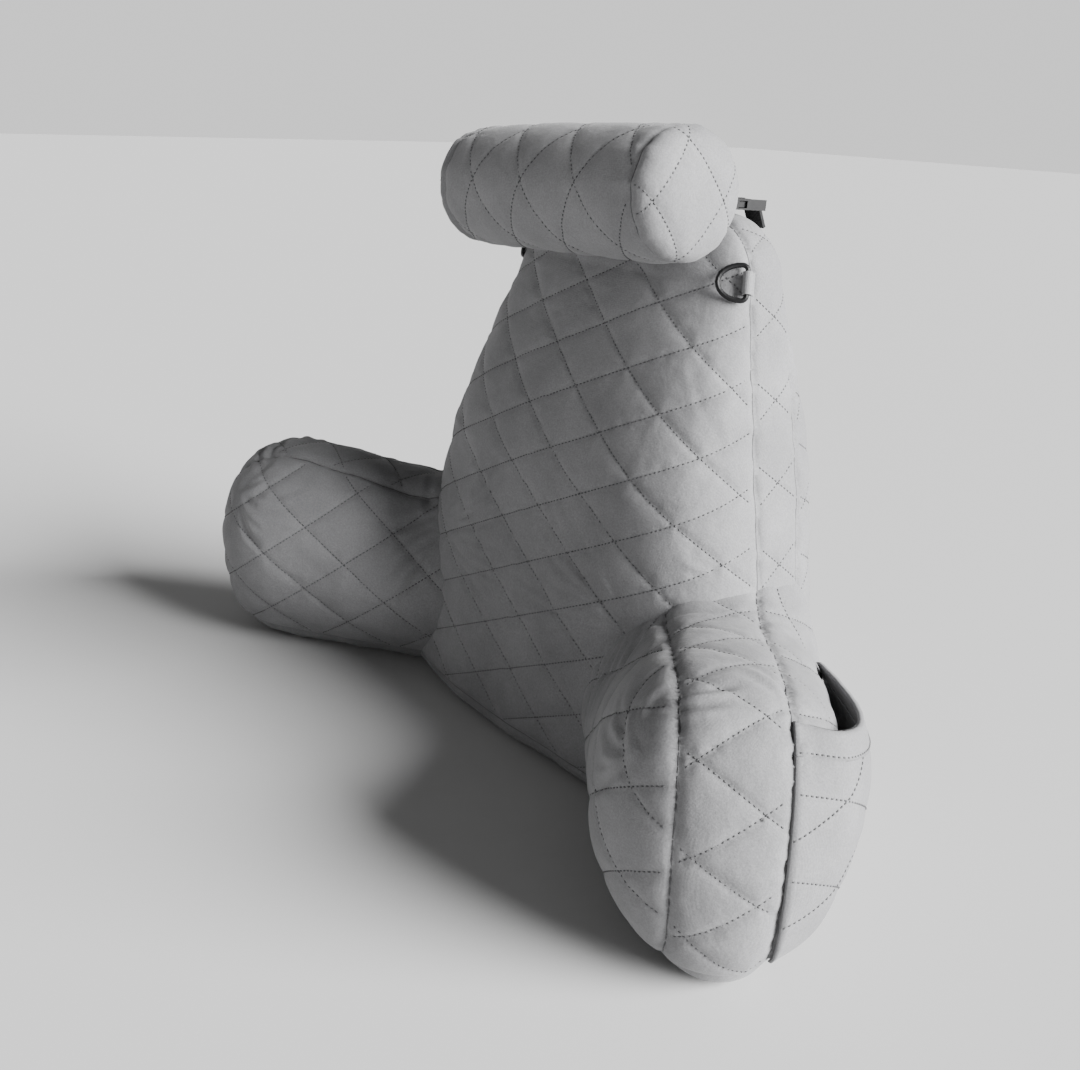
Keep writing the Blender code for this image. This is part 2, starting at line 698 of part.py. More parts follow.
def plug_bar_x():
    return SLOT_LENGTH + SOCKET_LENGTH + GAP + PLUG_BASE_LENGTH + PLUG_SLOT_LENGTH


def build_straps(label, x, finish, roll_parent):
    """The anchor sewn into the top's rear seam, and the neck roll's own strap."""
    hole = BAR_RADIUS + BAR_CLEARANCE
    hinge = hinge_point() + Vector((x, 0, 0))
    seam_y = centre_y(hinge.z) + BOXING_BACK
    seam = Vector((x, seam_y, max(top_z(x + d, seam_y) for d in (-WEBBING_WIDTH / 2, WEBBING_WIDTH / 2))))
    down = seam - hinge
    along = down.normalized()
    across = Vector((1, 0, 0))
    frame = Matrix((along, across, along.cross(across))).transposed().to_4x4()
    frame.translation = hinge
    # The tail stops where its nearer corner just clears the slope that it is sewn to.
    slope = Vector((0, seam_y - centre_y(seam.z), seam.z - BACKREST_HEIGHT + TOP_RADIUS)).normalized()
    facing = -along.dot(slope)
    retreat = (SURFACE_REST + WEBBING_LAYER * math.sqrt(1 - facing**2)) / facing
    name = f"strap_anchor_{label}"
    add_loop(name, hole, down.length - retreat, WEBBING_WIDTH, finish, frame)
    name = f"roll_strap_{label}"
    reach = (roll_centre() - hinge_point()).length - ROLL_RADIUS - plug_bar_x()
    frame = strap_frame(x) @ Matrix.Translation((plug_bar_x(), 0, 0))
    add_loop(name, hole, reach - SURFACE_REST, WEBBING_WIDTH, finish, frame, roll_parent)


def ring_frame(side):
    """Origin on the D-ring's straight bar: X towards the front along the cover, Z along the bar."""
    low, high = RING_Z - TAB_WIDTH / 2, RING_Z + TAB_WIDTH / 2
    near = angle_past_seam(side, RING_Z, RING_FROM_SEAM)
    far = angle_past_seam(side, RING_Z, RING_FROM_SEAM + RING_DEPTH - 2 * RING_WIRE_RADIUS)
    up = (cover_point(side, (near + far) / 2, high) - cover_point(side, (near + far) / 2, low)).normalized()
    start = cover_point(side, near, RING_Z)
    along = cover_point(side, far, RING_Z) - start
    along = (along - up * along.dot(up)).normalized()
    across = up.cross(along)
    # The cover bulges between the ring's two edges, and the wire stands clear of that.
    turns = [near + (far - near) * i / 12 for i in range(13)]
    bulge = max((cover_point(side, turn, RING_Z) - start).dot(across * side) for turn in turns)
    frame = Matrix((along, across, up)).transposed().to_4x4()
    frame.translation = start + across * side * (bulge + RING_WIRE_RADIUS + RING_CLEARANCE)
    return frame


def ring_path():
    """The D: a straight bar on Z, a small corner at each end of it and half an ellipse."""
    top = RING_HEIGHT / 2 - RING_WIRE_RADIUS
    depth = RING_DEPTH - 2 * RING_WIRE_RADIUS
    corner = [
        (RING_CORNER * (1 - math.cos(t)), top - RING_CORNER * (1 - math.sin(t)))
        for t in (math.pi / 2 * i / 4 for i in range(5))
    ]
    bow = [
        (RING_CORNER + (depth - RING_CORNER) * math.sin(t), top * math.cos(t))
        for t in (math.pi * i / 14 for i in range(1, 14))
    ]
    return corner + bow + [(x, -z) for x, z in corner[::-1]]


def build_ring(label, side, finish, tab_finish):
    frame = ring_frame(side)
    hinge = add_empty(f"d_ring_hinge_{label}", frame)
    curve = bpy.data.curves.new(f"d_ring_{label}", "CURVE")
    curve.dimensions = "3D"
    curve.bevel_depth = RING_WIRE_RADIUS
    curve.bevel_resolution = 2
    spline = curve.splines.new("POLY")
    path = ring_path()
    spline.points.add(len(path) - 1)
    for point, (x, z) in zip(spline.points, path):
        point.co = (x, 0, z, 1)
    spline.use_cyclic_u = True
    add_object(f"d_ring_{label}", curve, finish, frame, hinge)
    # The tab's own frame has its tail along X, towards the seam, and its width along Y.
    seam = cover_point(side, angle_past_seam(side, RING_Z, 0.0), RING_Z)
    inward = frame.inverted() @ seam
    along = Vector((inward.x, inward.y + side * (SURFACE_REST + WEBBING_LAYER), 0))
    tail = along.normalized()
    local = Matrix((tail, Vector((0, 0, 1)), tail.cross(Vector((0, 0, 1))))).transposed().to_4x4()
    name = f"d_ring_tab_{label}"
    hole = RING_WIRE_RADIUS + BAR_CLEARANCE
    add_loop(name, hole, along.length, TAB_WIDTH, tab_finish, frame @ local)


def zip_frame(z):
    """Origin on the back panel's middle line: Y points out of the panel, Z up along it."""
    turn = Matrix.Rotation(-math.atan(LEAN), 4, "X")
    return Matrix.Translation((0, centre_y(z) + HALF_DEPTH, z)) @ turn


def build_zip(tape_finish, metal):
    frame = zip_frame(ZIP_BOTTOM)
    low, high = SURFACE_REST, SURFACE_REST + ZIP_TAPE_THICKNESS
    for label, side in SIDES.items():
        near, far = sorted((side * GAP / 2, side * ZIP_TAPE_WIDTH))
        tape = box_mesh(f"zip_tape_{label}", [((near, low, 0), (far, high, ZIP_LENGTH))])
        add_object(f"zip_tape_{label}", tape, tape_finish, frame)
    coil_low = high + GAP
    coil_high = coil_low + ZIP_COIL_THICKNESS
    wide, flat = ZIP_COIL_HALF_WIDTH, ZIP_COIL_THICKNESS / 3
    section = [(-wide, coil_low), (wide, coil_low), (wide, coil_high - flat), (wide / 2, coil_high)]
    section += [(-wide / 2, coil_high), (-wide, coil_high - flat)]
    rings = [[(x, y, z) for x, y in section] for z in (ZIP_COIL_END, ZIP_LENGTH - ZIP_COIL_END)]
    add_object("zip_coil", loft_mesh("zip_coil", rings), tape_finish, frame)
    build_slider(coil_low, coil_high, metal)


def build_slider(coil_low, coil_high, metal):
    """A channel that rides on the coil, with two lugs that hold the pull's pin."""
    top = zip_frame(ZIP_BOTTOM) @ Matrix.Translation((0, 0, ZIP_LENGTH - SLIDER_FROM_TOP))
    carrier = add_empty("zip_slider_hinge", top)
    wide = SLIDER_HALF_WIDTH
    roof = coil_high + GAP
    block = box_mesh("zip_slider", [((-wide, coil_low, -SLIDER_LENGTH), (wide, roof + SLIDER_PLATE, 0))])
    slider = add_object("zip_slider", block, metal, top, carrier)
    groove = box_mesh(
        "slider_groove", [((-ZIP_COIL_HALF_WIDTH - GAP, -1, -1), (ZIP_COIL_HALF_WIDTH + GAP, roof, 1))]
    )
    add_boolean(slider, "DIFFERENCE", add_cutter("slider_groove", groove, top))
    pin_y = roof + SLIDER_PLATE + PULL_EYE_RADIUS + GAP
    pin_z = -SLIDER_LENGTH / 2
    lug = PULL_PIN_RADIUS + LUG_WALL
    for side in SIDES.values():
        inside, outside = sorted((side * (PULL_HALF_WIDTH + GAP), side * wide))
        corners = ((inside, roof, pin_z - lug), (outside, pin_y + lug, pin_z + lug))
        post = add_cutter(f"slider_lug_{side}", box_mesh(f"slider_lug_{side}", [corners]), top)
        add_boolean(slider, "UNION", post)
    reach = wide - PIN_INSET
    pin = rod_mesh("slider_pin", PULL_PIN_RADIUS, -reach, reach, axis="X", points=8)
    pin_frame = top @ Matrix.Translation((0, pin_y, pin_z))
    add_boolean(slider, "UNION", add_cutter("slider_pin", pin, pin_frame))
    # The pull hangs plumb from its pin, so its frame isn't turned with the panel.
    plumb = Matrix.Translation(pin_frame.translation)
    hinge = add_empty("zip_pull_hinge", plumb, carrier)
    eye = rod_mesh("zip_pull", PULL_EYE_RADIUS, -PULL_HALF_WIDTH, PULL_HALF_WIDTH, points=14, axis="X")
    pull = add_object("zip_pull", eye, metal, plumb, hinge)
    half = PULL_THICKNESS / 2
    blade = box_mesh("pull_blade", [((-PULL_HALF_WIDTH, -half, -PULL_LENGTH), (PULL_HALF_WIDTH, half, 0))])
    add_boolean(pull, "UNION", add_cutter("pull_blade", blade, plumb))
    bore = rod_mesh("pull_bore", PULL_PIN_RADIUS + GAP, -wide, wide, axis="X", points=12)
    add_boolean(pull, "DIFFERENCE", add_cutter("pull_bore", bore, plumb))


def main():
    for obj in list(bpy.data.objects):
        bpy.data.objects.remove(obj)
    quilt = make_material("quilted_cover", (0.36, 0.36, 0.37), 0.75)
    stuffing = make_material("stuffing", (0.86, 0.84, 0.78), 0.95)
    webbing = make_material("black_webbing", (0.02, 0.02, 0.022), 0.8)
    plastic = make_material("black_plastic", (0.018, 0.018, 0.02), 0.35)
    zip_tape = make_material("zip_tape", (0.22, 0.22, 0.23), 0.85)
    metal = make_material("zip_metal", (0.55, 0.55, 0.57), 0.35, 1.0)

    backrest_cutter = add_cutter("backrest_cutter", backrest_mesh("backrest_cutter", -ARM_SEAM_GAP, skirt=0.05))
    build_backrest(quilt, stuffing)
    for label, side in SIDES.items():
        build_arm(label, side, quilt, stuffing, backrest_cutter)
        build_pocket(label, side, quilt, backrest_cutter)
        build_ring(label, side, plastic, quilt)
    swing = add_empty("roll_swing_axis", Matrix.Translation(hinge_point()))
    build_neck_roll(quilt, stuffing, swing)
    for label, side in SIDES.items():
        x = side * STRAP_X
        build_socket(label, x, plastic, swing)
        build_plug(label, x, plastic, swing)
        build_straps(label, x, webbing, swing)
    build_zip(zip_tape, metal)


main()
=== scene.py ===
"""Looks of the backrest cushion: quilted covers, neck roll, straps, D-rings, pockets and zip.

Each cushion starts as the smooth shape of its CAD panels. It is remeshed evenly, its points are
moved onto the seams and quilting lines, and then the quilting, puckers and folds are pressed in.
Lengths are metres, +Z is up, and the front faces -Y.
"""

import json
import math

import bmesh
import bpy
import numpy as np
from mathutils import Matrix, Vector
from mathutils.bvhtree import BVHTree


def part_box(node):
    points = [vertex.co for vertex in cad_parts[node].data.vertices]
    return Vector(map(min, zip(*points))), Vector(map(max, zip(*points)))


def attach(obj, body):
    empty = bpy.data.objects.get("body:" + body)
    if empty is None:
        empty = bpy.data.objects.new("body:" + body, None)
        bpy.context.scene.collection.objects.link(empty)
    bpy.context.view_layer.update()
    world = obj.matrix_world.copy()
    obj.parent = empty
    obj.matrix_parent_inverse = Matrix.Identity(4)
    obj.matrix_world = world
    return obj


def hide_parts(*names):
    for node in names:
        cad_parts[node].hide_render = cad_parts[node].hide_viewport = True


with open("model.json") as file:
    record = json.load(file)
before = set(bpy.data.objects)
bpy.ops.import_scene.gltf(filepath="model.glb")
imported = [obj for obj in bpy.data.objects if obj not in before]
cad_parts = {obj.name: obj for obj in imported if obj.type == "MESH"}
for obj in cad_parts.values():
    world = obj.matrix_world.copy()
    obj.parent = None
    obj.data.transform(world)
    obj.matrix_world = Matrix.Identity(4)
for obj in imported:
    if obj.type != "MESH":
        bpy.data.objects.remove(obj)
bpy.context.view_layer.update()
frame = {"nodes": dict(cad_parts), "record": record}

SIDES = {"left": -1, "right": 1}
MM = 0.001

# The CAD model's own sizes, repeated here because the frame holds only its solids.
BASE_RISE = 0.018
UNDER_RADIUS = 0.030
BACKREST_HEIGHT = 0.510
BOTTOM_HALF_WIDTH = 0.268
TOP_HALF_WIDTH = 0.140
HALF_DEPTH = 0.113
TAPER_HEIGHT = 0.280
TAPER_POWER = 1.3
TOP_EDGE_HALF = 0.0015
TOP_RADIUS = 0.056
CORNER_RADIUS = 0.050
BASE_CENTRE_Y = -0.010
LEAN = 0.090
SECTION_POWER = 3.0
BOXING_FRONT = 0.014
BOXING_BACK = 0.038

ARM_LENGTH = 0.320
ARM_SPLAY = math.radians(51.0)
ARM_ROOT_X = 0.160
ARM_ROOT_Y = -0.012
ARM_ROOT_INSIDE = 0.060
ARM_HALF_WIDTH_ROOT = 0.104
ARM_HALF_WIDTH_END = 0.090
ARM_HEIGHT_ROOT = 0.186
ARM_HEIGHT_END = 0.234
ARM_END_ROUND = 0.105
ARM_REAR_ROUND = 0.100
ARM_FLARE = 0.054
ARM_FLARE_LENGTH = 0.095
ARM_UPPER_POWER = 2.4
ARM_LOWER_POWER = 2.0
ARM_END_POWER = 2.4
ARM_REAR_POWER = 2.2
ARM_END_TOP_POWER = 2.3
ARM_END_UNDER_POWER = 3.6
ARM_WIDEST = 0.45
ARM_SINK = 0.004
GUSSET_WIDTH = 0.078

POCKET_START = 0.075
POCKET_TOP = 0.160
POCKET_MOUTH = 0.016
POCKET_SHUT = 0.25
MOUTH_ACROSS_POWER = 0.7
MOUTH_UP_POWER = 1.4
POCKET_REST = 0.0022
HEM_HEIGHT = 0.016

GAP = 0.0003
SURFACE_REST = 0.0008
ZIP_BOTTOM = 0.050
ZIP_LENGTH = 0.210
ZIP_TAPE_THICKNESS = 0.0009
ZIP_COIL_HALF_WIDTH = 0.0024
ZIP_COIL_END = 0.003

ROLL_RADIUS = 0.054
ROLL_LENGTH = 0.322
ROLL_DOME = 0.026
ROLL_SEAM = ROLL_LENGTH / 2 - ROLL_DOME

# Looks only: the arm's leaning inner panel, the pocket's front, the zip's teeth and the roll's ends and tilt
ARM_INNER_LEAN = 0.42
LEAN_RANGE_ALONG = (0.04, 0.22)
LEAN_RANGE_UP = (0.08, 0.22)
POCKET_FRONT_MARGIN = 0.0005
POCKET_FRONT_RISE = 0.044
POCKET_RISE_POWER = 1.6
POCKET_COLUMNS = 90
POCKET_ROWS = 48
HEM_ROWS = 8
PANEL_THICKNESS = 0.003
HEM_THICKNESS = 0.0046
TOOTH_PITCH = 0.0014
TOOTH_LENGTH = 0.0031
TOOTH_RISE = 0.0017
TOOTH_TURN = math.radians(9)
DOME_POWER = 2.6
ROLL_TILT = math.radians(3.0)

# Mesh size, and the threads
VOXEL = 0.0031
STITCH_PITCH = 0.0042
STITCH_LENGTH = 0.0027
STITCH_RADIUS = 0.00062
SEAM_THREAD = 0.0008
THREAD_SINK = 0.1

# Quilting: the diamonds' width and height, and how deep the stitching pulls
DIAMOND_WIDTH = 0.094
DIAMOND_HEIGHT = 0.068
ROLL_DIAMOND_WIDTH = 0.075
QUILT_DEPTH = 1.7 * MM
QUILT_FALL = 3.2 * MM
PUCKER_HEIGHT = 0.45 * MM
PUCKER_FALL = 8.0 * MM
PUCKER_SIZE = 7.5 * MM
CROWN_REACH = 22 * MM
SEAM_DEPTH = 3.4 * MM
SEAM_FALL = 3.2 * MM
SEAM_FADE = 10 * MM
SEAM_MARGIN = 0.2 * MM
STITCH_MARGIN = 3 * MM
CAP_MARGIN = 4 * MM
FAR = 1.0
WIDEST_STEP = 0.9
SIDE_NODE = (0.286, 0.154)

# The band round the base: its height over the cover, its middle and its spread
BAND_HEIGHT, BAND_MIDDLE, BAND_SPREAD = 1.5 * MM, 0.006, 0.007

# Slow waves of the cushions: height, size and seed of each
BACKREST_WAVES = ((2.2 * MM, 0.085, 1), (0.7 * MM, 0.030, 2), (0.22 * MM, 0.009, 3))
ARM_WAVES = ((2.0 * MM, 0.075, 4), (0.6 * MM, 0.026, 5), (0.22 * MM, 0.009, 6))
ROLL_WAVES = ((1.6 * MM, 0.07, 6), (0.5 * MM, 0.024, 7))

# Puckers along the seams: height, size and reach of each
BACKREST_PUCKERS = ((1.1 * MM, 0.0085, 9 * MM), (1.4 * MM, 0.027, 20 * MM))
ARM_PUCKERS = ((0.9 * MM, 0.0080, 9 * MM), (1.3 * MM, 0.026, 18 * MM))

# Fans of folds: centre, direction and spread in degrees, count, reach, width, height and seed
BACKREST_FANS = (
    ((0.152, 0.172), 160, 85, 17, 0.190, 3.6 * MM, 1.1 * MM, 11),
    ((0.235, 0.222), 168, 50, 4, 0.07, 2.6 * MM, 1.2 * MM, 12),
    ((0.225, 0.300), 150, 70, 5, 0.12, 5.0 * MM, 0.8 * MM, 13),
)
ARM_INNER_FANS = (
    ((0.285, 0.175), 190, 120, 9, 0.075, 4 * MM, 2.2 * MM, 31),
    ((0.030, 0.175), -25, 90, 8, 0.11, 5 * MM, 2.2 * MM, 32),
)
ARM_OUTER_FANS = (((0.040, 0.170), -20, 100, 8, 0.11, 5 * MM, 2.0 * MM, 33),)

# Single folds on the gusset: start and end across and along it, width and height
GUSSET_FOLDS = (
    ((-0.060, 0.064), (0.010, 0.080), 5 * MM, 1.6 * MM),
    ((0.060, 0.092), (0.000, 0.084), 6 * MM, 1.2 * MM),
    ((-0.045, 0.262), (0.006, 0.253), 4 * MM, 3.6 * MM),
    ((-0.048, 0.274), (-0.004, 0.272), 4 * MM, 2.4 * MM),
    ((0.036, 0.262), (0.002, 0.236), 5 * MM, 2.2 * MM),
    ((0.042, 0.250), (0.010, 0.218), 5 * MM, 1.6 * MM),
)

# The cover lies flat round the D-rings and the zip: where that fades out, and how far the zip sinks in
RING_FADE = (0.016, 0.034)
ZIP_FADE_SIDE = (0.014, 0.024)
ZIP_FADE_FOOT = (0.03, 0.05)
ZIP_FADE_HEAD = (0.262, 0.280)
ZIP_SINK = 0.6 * MM
ZIP_CLEAR_SIDE = 0.022
ZIP_CLEAR_HEAD = 0.275

# Camera: where it stands, how it is turned and its focal length
CAMERA_AZIMUTH = math.radians(50.27)
CAMERA_DISTANCE = 1.166
CAMERA_HEIGHT = 0.593
CAMERA_TURN = math.radians(3.11)
CAMERA_PITCH = math.radians(19.25)
CAMERA_ROLL = math.radians(2.53)
CAMERA_LENS = 41.56


def smooth_step(low, high, value):
    t = np.clip((value - low) / (high - low), 0.0, 1.0)
    return t * t * (3 - 2 * t)


HASH_PRIMES = (73856093, 19349663, 83492791)
HASH_MIX = (1274126177, 668265263)
LOW_BITS = 0xFFFFFFFF


def noise(points, size, seed):
    """Smooth value noise from -1 to 1, the same each run. points is N x 2 or N x 3, in metres."""
    p = np.asarray(points, float) / size + 517.3 + 31.7 * seed
    cell = np.floor(p).astype(np.int64)
    t = p - cell
    t = t * t * (3 - 2 * t)
    total = np.zeros(len(p))
    axes = p.shape[1]
    for corner in range(2**axes):
        step = [(corner >> k) & 1 for k in range(axes)]
        key = np.full(len(p), seed * 7919 + 12345, np.int64)
        weight = np.ones(len(p))
        for k, prime in zip(range(axes), HASH_PRIMES):
            key ^= (cell[:, k] + step[k]) * prime
            weight *= t[:, k] if step[k] else 1 - t[:, k]
        key = (key ^ (key >> 13)) * HASH_MIX[0] & LOW_BITS
        key = (key ^ (key >> 16)) * HASH_MIX[1] & LOW_BITS
        total += weight * (key / LOW_BITS * 2 - 1)
    return total


def waves(points, rows):
    return sum(height * noise(points, size, seed) for height, size, seed in rows)


def seam_puckers(distance, along, seed, rows):
    """Small waves along a seam that die away from it."""
    height = 0.0
    for step, (size, length, reach) in enumerate(rows):
        height = height + size * noise(along, length, seed + 5 * step) * np.exp(-distance / reach)
    return height


def base_band(z):
    """The band round the base stands a little proud of its seam."""
    return BAND_HEIGHT * np.exp(-(((z - BAND_MIDDLE) / BAND_SPREAD) ** 2))


def round_off(share, power):
    return (1 - share**power) ** (1 / power)


def everywhere(points):
    return np.ones(len(points), bool)


def above_base(points):
    return points[:, 2] > BASE_RISE


def base_seam(points):
    return points[:, 2] - BASE_RISE


# Meshes


def new_object(name, mesh, material=None):
    made = bpy.data.objects.new(name, mesh)
    bpy.context.scene.collection.objects.link(made)
    if material:
        mesh.materials.append(material)
    return made


def mesh_of(name, points, faces):
    mesh = bpy.data.meshes.new(name)
    mesh.from_pydata([tuple(p) for p in points], [], [tuple(f) for f in faces])
    mesh.validate()
    mesh.shade_smooth()
    return mesh


def turn_faces_out(mesh):
    fix = bmesh.new()
    fix.from_mesh(mesh)
    bmesh.ops.recalc_face_normals(fix, faces=fix.faces)
    fix.to_mesh(mesh)
    fix.free()


def loft(rings):
    """Points and faces of rings of equal length, closed by a face at each end."""
    count = len(rings[0])
    points = np.concatenate(rings)
    faces = []
    for r in range(len(rings) - 1):
        for i in range(count):
            j = (i + 1) % count
            faces.append((r * count + i, r * count + j, (r + 1) * count + j, (r + 1) * count + i))
    faces.append(tuple(range(count - 1, -1, -1)))
    faces.append(tuple(range((len(rings) - 1) * count, len(rings) * count)))
    return points, faces


def read(items, name, width, kind=np.float32):
    values = np.empty(len(items) * width, kind)
    items.foreach_get(name, values)
    return values.reshape(-1, width)


def read_normals(mesh):
    return read(mesh.vertex_normals, "vector", 3).astype(float)


def write_points(mesh, points):
    mesh.vertices.foreach_set("co", points.astype(np.float32).ravel())
    mesh.update()


def even_mesh(name, points, faces):
    """The smooth shape as even quads, with its points back on that shape."""
    rough = new_object(f"{name}_rough", mesh_of(f"{name}_rough", points, faces))
    turn_faces_out(rough.data)
    corners = [v.co for v in rough.data.vertices]
    tree = BVHTree.FromPolygons(corners, [p.vertices[:] for p in rough.data.polygons])
    step = rough.modifiers.new("even", "REMESH")
    step.mode = "VOXEL"
    step.voxel_size = VOXEL
    graph = bpy.context.evaluated_depsgraph_get()
    mesh = bpy.data.meshes.new_from_object(rough.evaluated_get(graph))
    mesh.name = name
    bpy.data.objects.remove(rough)
    mesh.shade_smooth()
    write_points(mesh, np.array([tree.find_nearest(v.co)[0] for v in mesh.vertices]))
    return mesh


def slide_points(points, near, far, share, frozen):
    """Slides an end of each edge to the place at this share along it: the nearer end, unless frozen.

    It returns the mask of what moved.
    """
    swap = share > 0.5
    near, far = np.where(swap, far, near), np.where(swap, near, far)
    share = np.where(swap, 1 - share, share)
    free = ~frozen[near]
    near, far, share = near[free], far[free], share[free]
    order = np.argsort(share, kind="stable")
    near, far, share = near[order], far[order], share[order]
    near, first = np.unique(near, return_index=True)
    before = points.copy()
    points[near] += (before[far[first]] - before[near]) * share[first, None]
    moved = np.zeros(len(points), bool)
    moved[near] = True
    return moved


def snap_to_lines(points, edges, field, frozen, where):
    """Moves the points nearest to a field's whole numbers onto them, along their edges."""
    value = field(points)
    a, b = edges[:, 0], edges[:, 1]
    low, high = np.minimum(value[a], value[b]), np.maximum(value[a], value[b])
    line = np.floor(high)
    crosses = (line > low) & (high - low < WIDEST_STEP) & where[a] & where[b]
    a, b, line = a[crosses], b[crosses], line[crosses]
    return slide_points(points, a, b, (line - value[a]) / (value[b] - value[a]), frozen)


def snap_to_zero(points, edges, field, frozen, where):
    """Moves the points nearest to where a field is 0 onto that line, along their edges."""
    value = field(points)
    a, b = edges[:, 0], edges[:, 1]
    crosses = (value[a] * value[b] < 0) & where[a] & where[b]
    a, b = a[crosses], b[crosses]
    return slide_points(points, a, b, value[a] / (value[a] - value[b]), frozen)


def trace_lines(points, normals, faces, value, inside):
    """Where a field takes whole numbers, as polylines of points and normals over the quads."""
    corners = value[faces]
    ok = inside[faces].all(axis=1) & (np.ptp(corners, axis=1) < WIDEST_STEP)
    faces, corners = faces[ok], corners[ok]
    level = np.floor(corners.max(axis=1))
    hit = level > corners.min(axis=1)
    faces, corners, level = faces[hit], corners[hit], level[hit]
    places, links = {}, {}
    for face, numbers, whole in zip(faces, corners, level):
        found = []
        for k in range(4):
            a, b = int(face[k]), int(face[(k + 1) % 4])
            va, vb = numbers[k] - whole, numbers[(k + 1) % 4] - whole
            if (va < 0) == (vb < 0):
                continue
            key = (min(a, b), max(a, b), int(whole))
            if key not in places:
                share = va / (va - vb)
                normal = normals[a] + (normals[b] - normals[a]) * share
                places[key] = (points[a] + (points[b] - points[a]) * share, normal)
            found.append(key)
        if len(found) == 2:
            links.setdefault(found[0], []).append(found[1])
            links.setdefault(found[1], []).append(found[0])
    lines, used = [], set()
    for start in sorted(links, key=lambda key: (len(links[key]), key)):
        if start in used:
            continue
        line, key = [], start
        while key is not None:
            used.add(key)
            line.append(key)
            key = next((after for after in links[key] if after not in used), None)
        if len(line) > 3:
            lines.append(tuple(np.array([places[k][part] for k in line]) for part in (0, 1)))
    return lines


def press_lines(distance, depth, fall):
    """A sharp valley at distance 0."""
    return -depth * np.exp(-np.abs(distance) / fall)


def folds(q, strokes):
    """Height of soft folds. q is N x 2 in metres, a stroke is (start, end, width, height)."""
    height = np.zeros(len(q))
    for start, end, width, size in strokes:
        a, b = np.array(start, float), np.array(end, float)
        along = b - a
        length = np.linalg.norm(along)
        along /= length
        across = np.array([-along[1], along[0]])
        t = (q - a) @ along / length
        bend = 0.05 * length * np.sin(math.pi * np.clip(t, 0, 1))
        d = ((q - a) @ across - bend) / width
        taper = smooth_step(-0.1, 0.25, t) * (1 - smooth_step(0.55, 1.1, t))
        height += size * taper * (0.7 * np.exp(-((d - 1.1) ** 2)) - np.exp(-(d**2)))
    return height


def fan(centre, towards, spread, count, reach, width, height, seed):
    """Strokes that run out from a point, as cloth folds from where it is pulled."""
    centre, towards, spread = np.array(centre), math.radians(towards), math.radians(spread)
    rng = np.random.default_rng(seed)
    strokes = []
    for i in range(count):
        angle = towards + spread * ((i + 0.5) / count - 0.5) + rng.normal(0, spread / count / 3)
        near = reach * rng.uniform(0.05, 0.3)
        far = near + reach * rng.uniform(0.45, 1.0)
        direction = np.array([math.cos(angle), math.sin(angle)])
        size = height * rng.uniform(0.45, 1.0)
        start, end = centre + near * direction, centre + far * direction
        strokes.append((start, end, width * rng.uniform(0.7, 1.4), size))
    return strokes


def fan_folds(q, fans):
    return folds(q, [stroke for row in fans for stroke in fan(*row)])


def smooth_line(points, times=2):
    for _ in range(times):
        points = points.copy()
        points[1:-1] = points[1:-1] / 2 + (points[:-2] + points[2:]) / 4
    return points


def tube_faces(first, rings, sides):
    """The faces of a closed tube whose points run round each ring in turn."""
    faces = []
    for low in range(first, first + (rings - 1) * sides, sides):
        for i in range(sides):
            j = (i + 1) % sides
            faces.append((low + i, low + sides + i, low + sides + j, low + j))
    faces.append(tuple(first + i for i in range(sides)))
    faces.append(tuple(first + (rings - 1) * sides + i for i in reversed(range(sides))))
    return faces


def stitch_mesh(lines):
    """Short threads along the lines, each with its ends pulled down into the cloth."""
    made_points, made_faces = [], []
    sides, rings = 3, 3
    for points, normals in lines:
        path, up = smooth_line(points), smooth_line(normals)
        steps = np.linalg.norm(np.diff(path, axis=0), axis=1)
        run = np.concatenate([[0], np.cumsum(steps)])
        for k in range(int(run[-1] / STITCH_PITCH)):
            middle = (k + 0.5) * STITCH_PITCH
            at = middle + STITCH_LENGTH * (np.arange(rings) / (rings - 1) - 0.5)
            line = np.stack([np.interp(at, run, path[:, c]) for c in range(3)], axis=1)
            out = np.array([np.interp(middle, run, up[:, c]) for c in range(3)])
            out /= np.linalg.norm(out)
            ahead = line[-1] - line[0]
            size = np.linalg.norm(ahead)
            if size < STITCH_LENGTH / 3:
                continue
            side = np.cross(out, ahead / size)
            first = len(made_points)
            for centre, lift in zip(line, (-0.5, 0.7, -0.5)):
                for i in range(sides):
                    turn = 2 * math.pi * (i + 0.25) / sides
                    offset = math.cos(turn) * side + (math.sin(turn) + lift) * out
                    made_points.append(centre + STITCH_RADIUS * offset)
            made_faces += tube_faces(first, rings, sides)
    return made_points, made_faces


def cord_mesh(lines, radius):
    """Continuous thin cords along the lines, sunk a little into the surface."""
    made_points, made_faces = [], []
    sides = 5
    for points, normals in lines:
        path, up = smooth_line(points, 3), smooth_line(normals, 3)
        up /= np.linalg.norm(up, axis=1)[:, None]
        ahead = np.gradient(path, axis=0)
        ahead /= np.maximum(np.linalg.norm(ahead, axis=1), 1e-9)[:, None]
        side = np.cross(up, ahead)
        made_faces += tube_faces(len(made_points), len(path), sides)
        turns = 2 * np.pi * np.arange(sides)[:, None] / sides
        for centre, over, out in zip(path, side, up):
            around = np.cos(turns) * over + np.sin(turns) * out
            made_points.extend(centre + radius * around - radius * THREAD_SINK * out)
    return made_points, made_faces


# Materials


def new_material(name, colour, roughness, metallic=0.0):
    made = bpy.data.materials.new(name)
    made.use_nodes = True
    shader = made.node_tree.nodes["Principled BSDF"]
    shader.inputs["Base Color"].default_value = (*colour, 1.0)
    shader.inputs["Roughness"].default_value = roughness
    shader.inputs["Metallic"].default_value = metallic
    return made, made.node_tree.nodes, made.node_tree.links, shader


